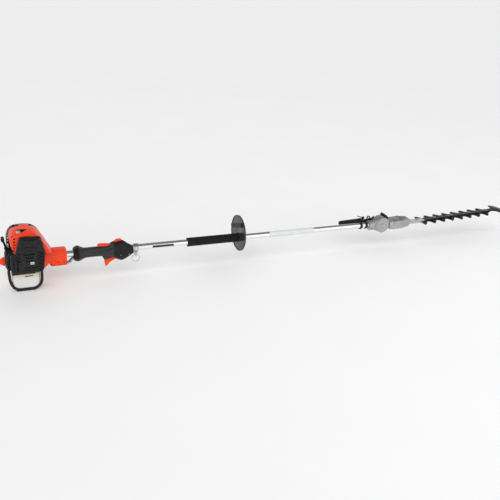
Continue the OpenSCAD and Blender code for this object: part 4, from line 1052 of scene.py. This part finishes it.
def blade(name, node, body, upper):
    """A blade at rest: the upper one at the front end of its stroke's range, the lower one at the back end."""
    shift = 0 if upper else -STROKE
    yoke_lo, yoke_hi = CAM_X - YOKE_R + shift, CAM_X + YOKE_R + STROKE + shift
    side = [(yoke_lo - 5, 21.5), (yoke_hi + 5, 21.5), (yoke_hi + 5, 15)]
    for i in range(TEETH):
        side += tooth(FIRST_TOOTH + TOOTH_PITCH * i + shift, UPPER_BACK if upper else 0)
    side.append((FIRST_TOOTH + (TEETH - 1) * TOOTH_PITCH + 27 + shift, 15))
    outline = side + [(x, -y) for x, y in reversed(side)]
    z0 = -14.8 if upper else -17.6
    reach = (z0 - 1, z0 + 4)
    plate = prism(name, outline, z0, z0 + BLADE_THICK, "z", True)
    yoke = [(yoke_lo, -YOKE_R), (yoke_hi, -YOKE_R), (yoke_hi, YOKE_R), (yoke_lo, YOKE_R)]
    holes = [prism("yoke", yoke, *reach, "z", True)]
    turns = [pi * k / 8 for k in range(9)]
    for x in ROOT_BOLTS + GUIDE_BOLTS:
        x += shift
        ends = [(x + STROKE + 3.3 * sin(a), 3.3 * cos(a)) for a in turns]
        ends += [(x - 3.3 * sin(a), -3.3 * cos(a)) for a in turns]
        holes.append(prism("slot", ends, *reach, "z", True))
    for k in range(TEETH):
        x = FIRST_TOOTH + TOOTH_PITCH * (k + 0.5) + shift - 4
        if min(abs(x - bolt) for bolt in GUIDE_BOLTS) > 24:
            holes.append(lathe("hole", [(z, 4.2) for z in reach], (x, 0, 0), "z", True, sides=32))
    cut(plate, *holes)
    bevel(plate, 0.95, 1, 35, 1)
    done(plate, name, [BLADE, GROUND], node, body=body, angle=20, even=False)


def cutter():
    blade("upper_blade_plate", "upper_blade", "blade_upper", True)
    blade("lower_blade_plate", "lower_blade", "blade_lower", False)
    bar = copy_of("guide_bar")
    bevel(bar, 0.7, 2, 28)
    done(bar, "guide_bar_plate", BAR, "guide_bar", body="head", even=False)
    parts = []
    for x in ROOT_BOLTS + GUIDE_BOLTS:
        spot = (x, 0, 0)
        top = -3.3 if x in ROOT_BOLTS else -7.5
        parts.append(rod("shank", "z", -17.9, top, 5.8, spot, True))
        if x != ROOT_BOLTS[0]:
            nut = [(top, 4.6), (top + 0.5, 5), (top + 2.6, 5), (top + 3.2, 4.4)]
            parts.append(lathe("nut", nut, spot, "z", True, sides=6))
            parts.append(rod("washer", "z", top - 0.01, top + 0.7, 12.5 if x in GUIDE_BOLTS else 9, spot, True, 0.2))
        parts.append(lathe("head", [(-21.9, 4.4), (-21.4, 5), (-18.4, 5), (-17.9, 4.6)], spot, "z", True, sides=6))
    done(join(*parts), "cutter_bolts", PLATED, "blade_bolts", body="head", even=False)
    spacers = [rod("spacer", "z", -7.5, -3.3, 11, (x, 0, 0), True) for x in ROOT_BOLTS[1:]]
    done(join(*spacers), "root_spacers", POLISHED, body="head")


engine_covers()
muffler_shell()
drum_and_collar()
starter()
fuel_system()
handle_half(1)
handle_half(-1)
controls()
pole_fittings()
gearcases()
lever()
cutter()

# ---- studio
# The camera was fitted to the photo's pole and round hand guard: degrees, then metres, then mm
AZIMUTH_ELEVATION_ROLL = (-24.996, 24.49, 4.878)
EYE = (-0.1096, -2.2222, 1.1624)
SENSOR = 36
LENS = 44.64
FLOOR_HALF = 60
FLOOR_Z = -0.0005
# Name, kind, place in metres, size (degrees for a sun, metres for an area) and strength
LIGHTS = (
    ("key", "SUN", (-0.6, -2.2, 2.6), 70, 1.75), ("back", "SUN", (1.6, 2.6, 2.8), 80, 1.0),
    ("fill", "AREA", (2.6, -2.6, 1.6), 3.0, 22)
)
LIT_POINT = (0.9, 0, POLE_Z)


def studio():
    scene = bpy.context.scene
    azimuth, elevation, roll = (radians(a) for a in AZIMUTH_ELEVATION_ROLL)
    level = cos(elevation)
    ahead = Vector((-sin(azimuth) * level, cos(azimuth) * level, -sin(elevation)))
    right = Vector((cos(azimuth), sin(azimuth), 0))
    up = right.cross(ahead)
    x_axis = cos(roll) * right + sin(roll) * up
    y_axis = -sin(roll) * right + cos(roll) * up
    data = bpy.data.cameras.new("camera")
    data.sensor_width = SENSOR
    data.lens = LENS
    data.clip_end = 200
    camera = bpy.data.objects.new("camera", data)
    camera.matrix_world = Matrix([[x_axis[i], y_axis[i], -ahead[i], EYE[i]] for i in range(3)] + [[0, 0, 0, 1]])
    scene.collection.objects.link(camera)
    scene.camera = camera
    scene.view_settings.view_transform = "Standard"

    h = FLOOR_HALF
    floor_mesh = bpy.data.meshes.new("floor")
    floor_mesh.from_pydata([(x, y, FLOOR_Z) for x, y in ((-h, -h), (h, -h), (h, h), (-h, h))], [], [(0, 1, 2, 3)])
    floor = link("floor", floor_mesh)
    m, tree, bsdf = shader("pale_floor")
    pale = blend_colour(tree, noise_at(tree, 3), (0.90, 0.90, 0.90), (0.93, 0.93, 0.93))
    feed(tree, bsdf, {"Base Color": pale, "Roughness": 0.9})
    floor_mesh.materials.append(m)

    world = bpy.data.worlds.new("studio")
    scene.world = world
    world.use_nodes = True
    tree = world.node_tree
    sky = add(tree, "SeparateXYZ", {"Vector": add(tree, "TexCoord").outputs["Generated"]})
    shade = remap(tree, sky.outputs[2], 0.05, 0.5, 1.0, 0.14)
    grey = add(tree, "CombineColor", {0: shade, 1: shade, 2: shade})
    feed(tree, tree.nodes["Background"], {"Color": grey.outputs[0], "Strength": 1.5})

    for name, kind, spot, size, power in LIGHTS:
        light = bpy.data.lights.new(name, kind)
        if kind == "SUN":
            light.angle = radians(size)
        else:
            light.size = size
        light.energy = power
        ob = bpy.data.objects.new(name, light)
        ob.location = spot
        ob.visible_glossy = kind == "AREA"
        ob.rotation_euler = (Vector(LIT_POINT) - Vector(spot)).to_track_quat("-Z", "Y").to_euler()
        scene.collection.objects.link(ob)


studio()
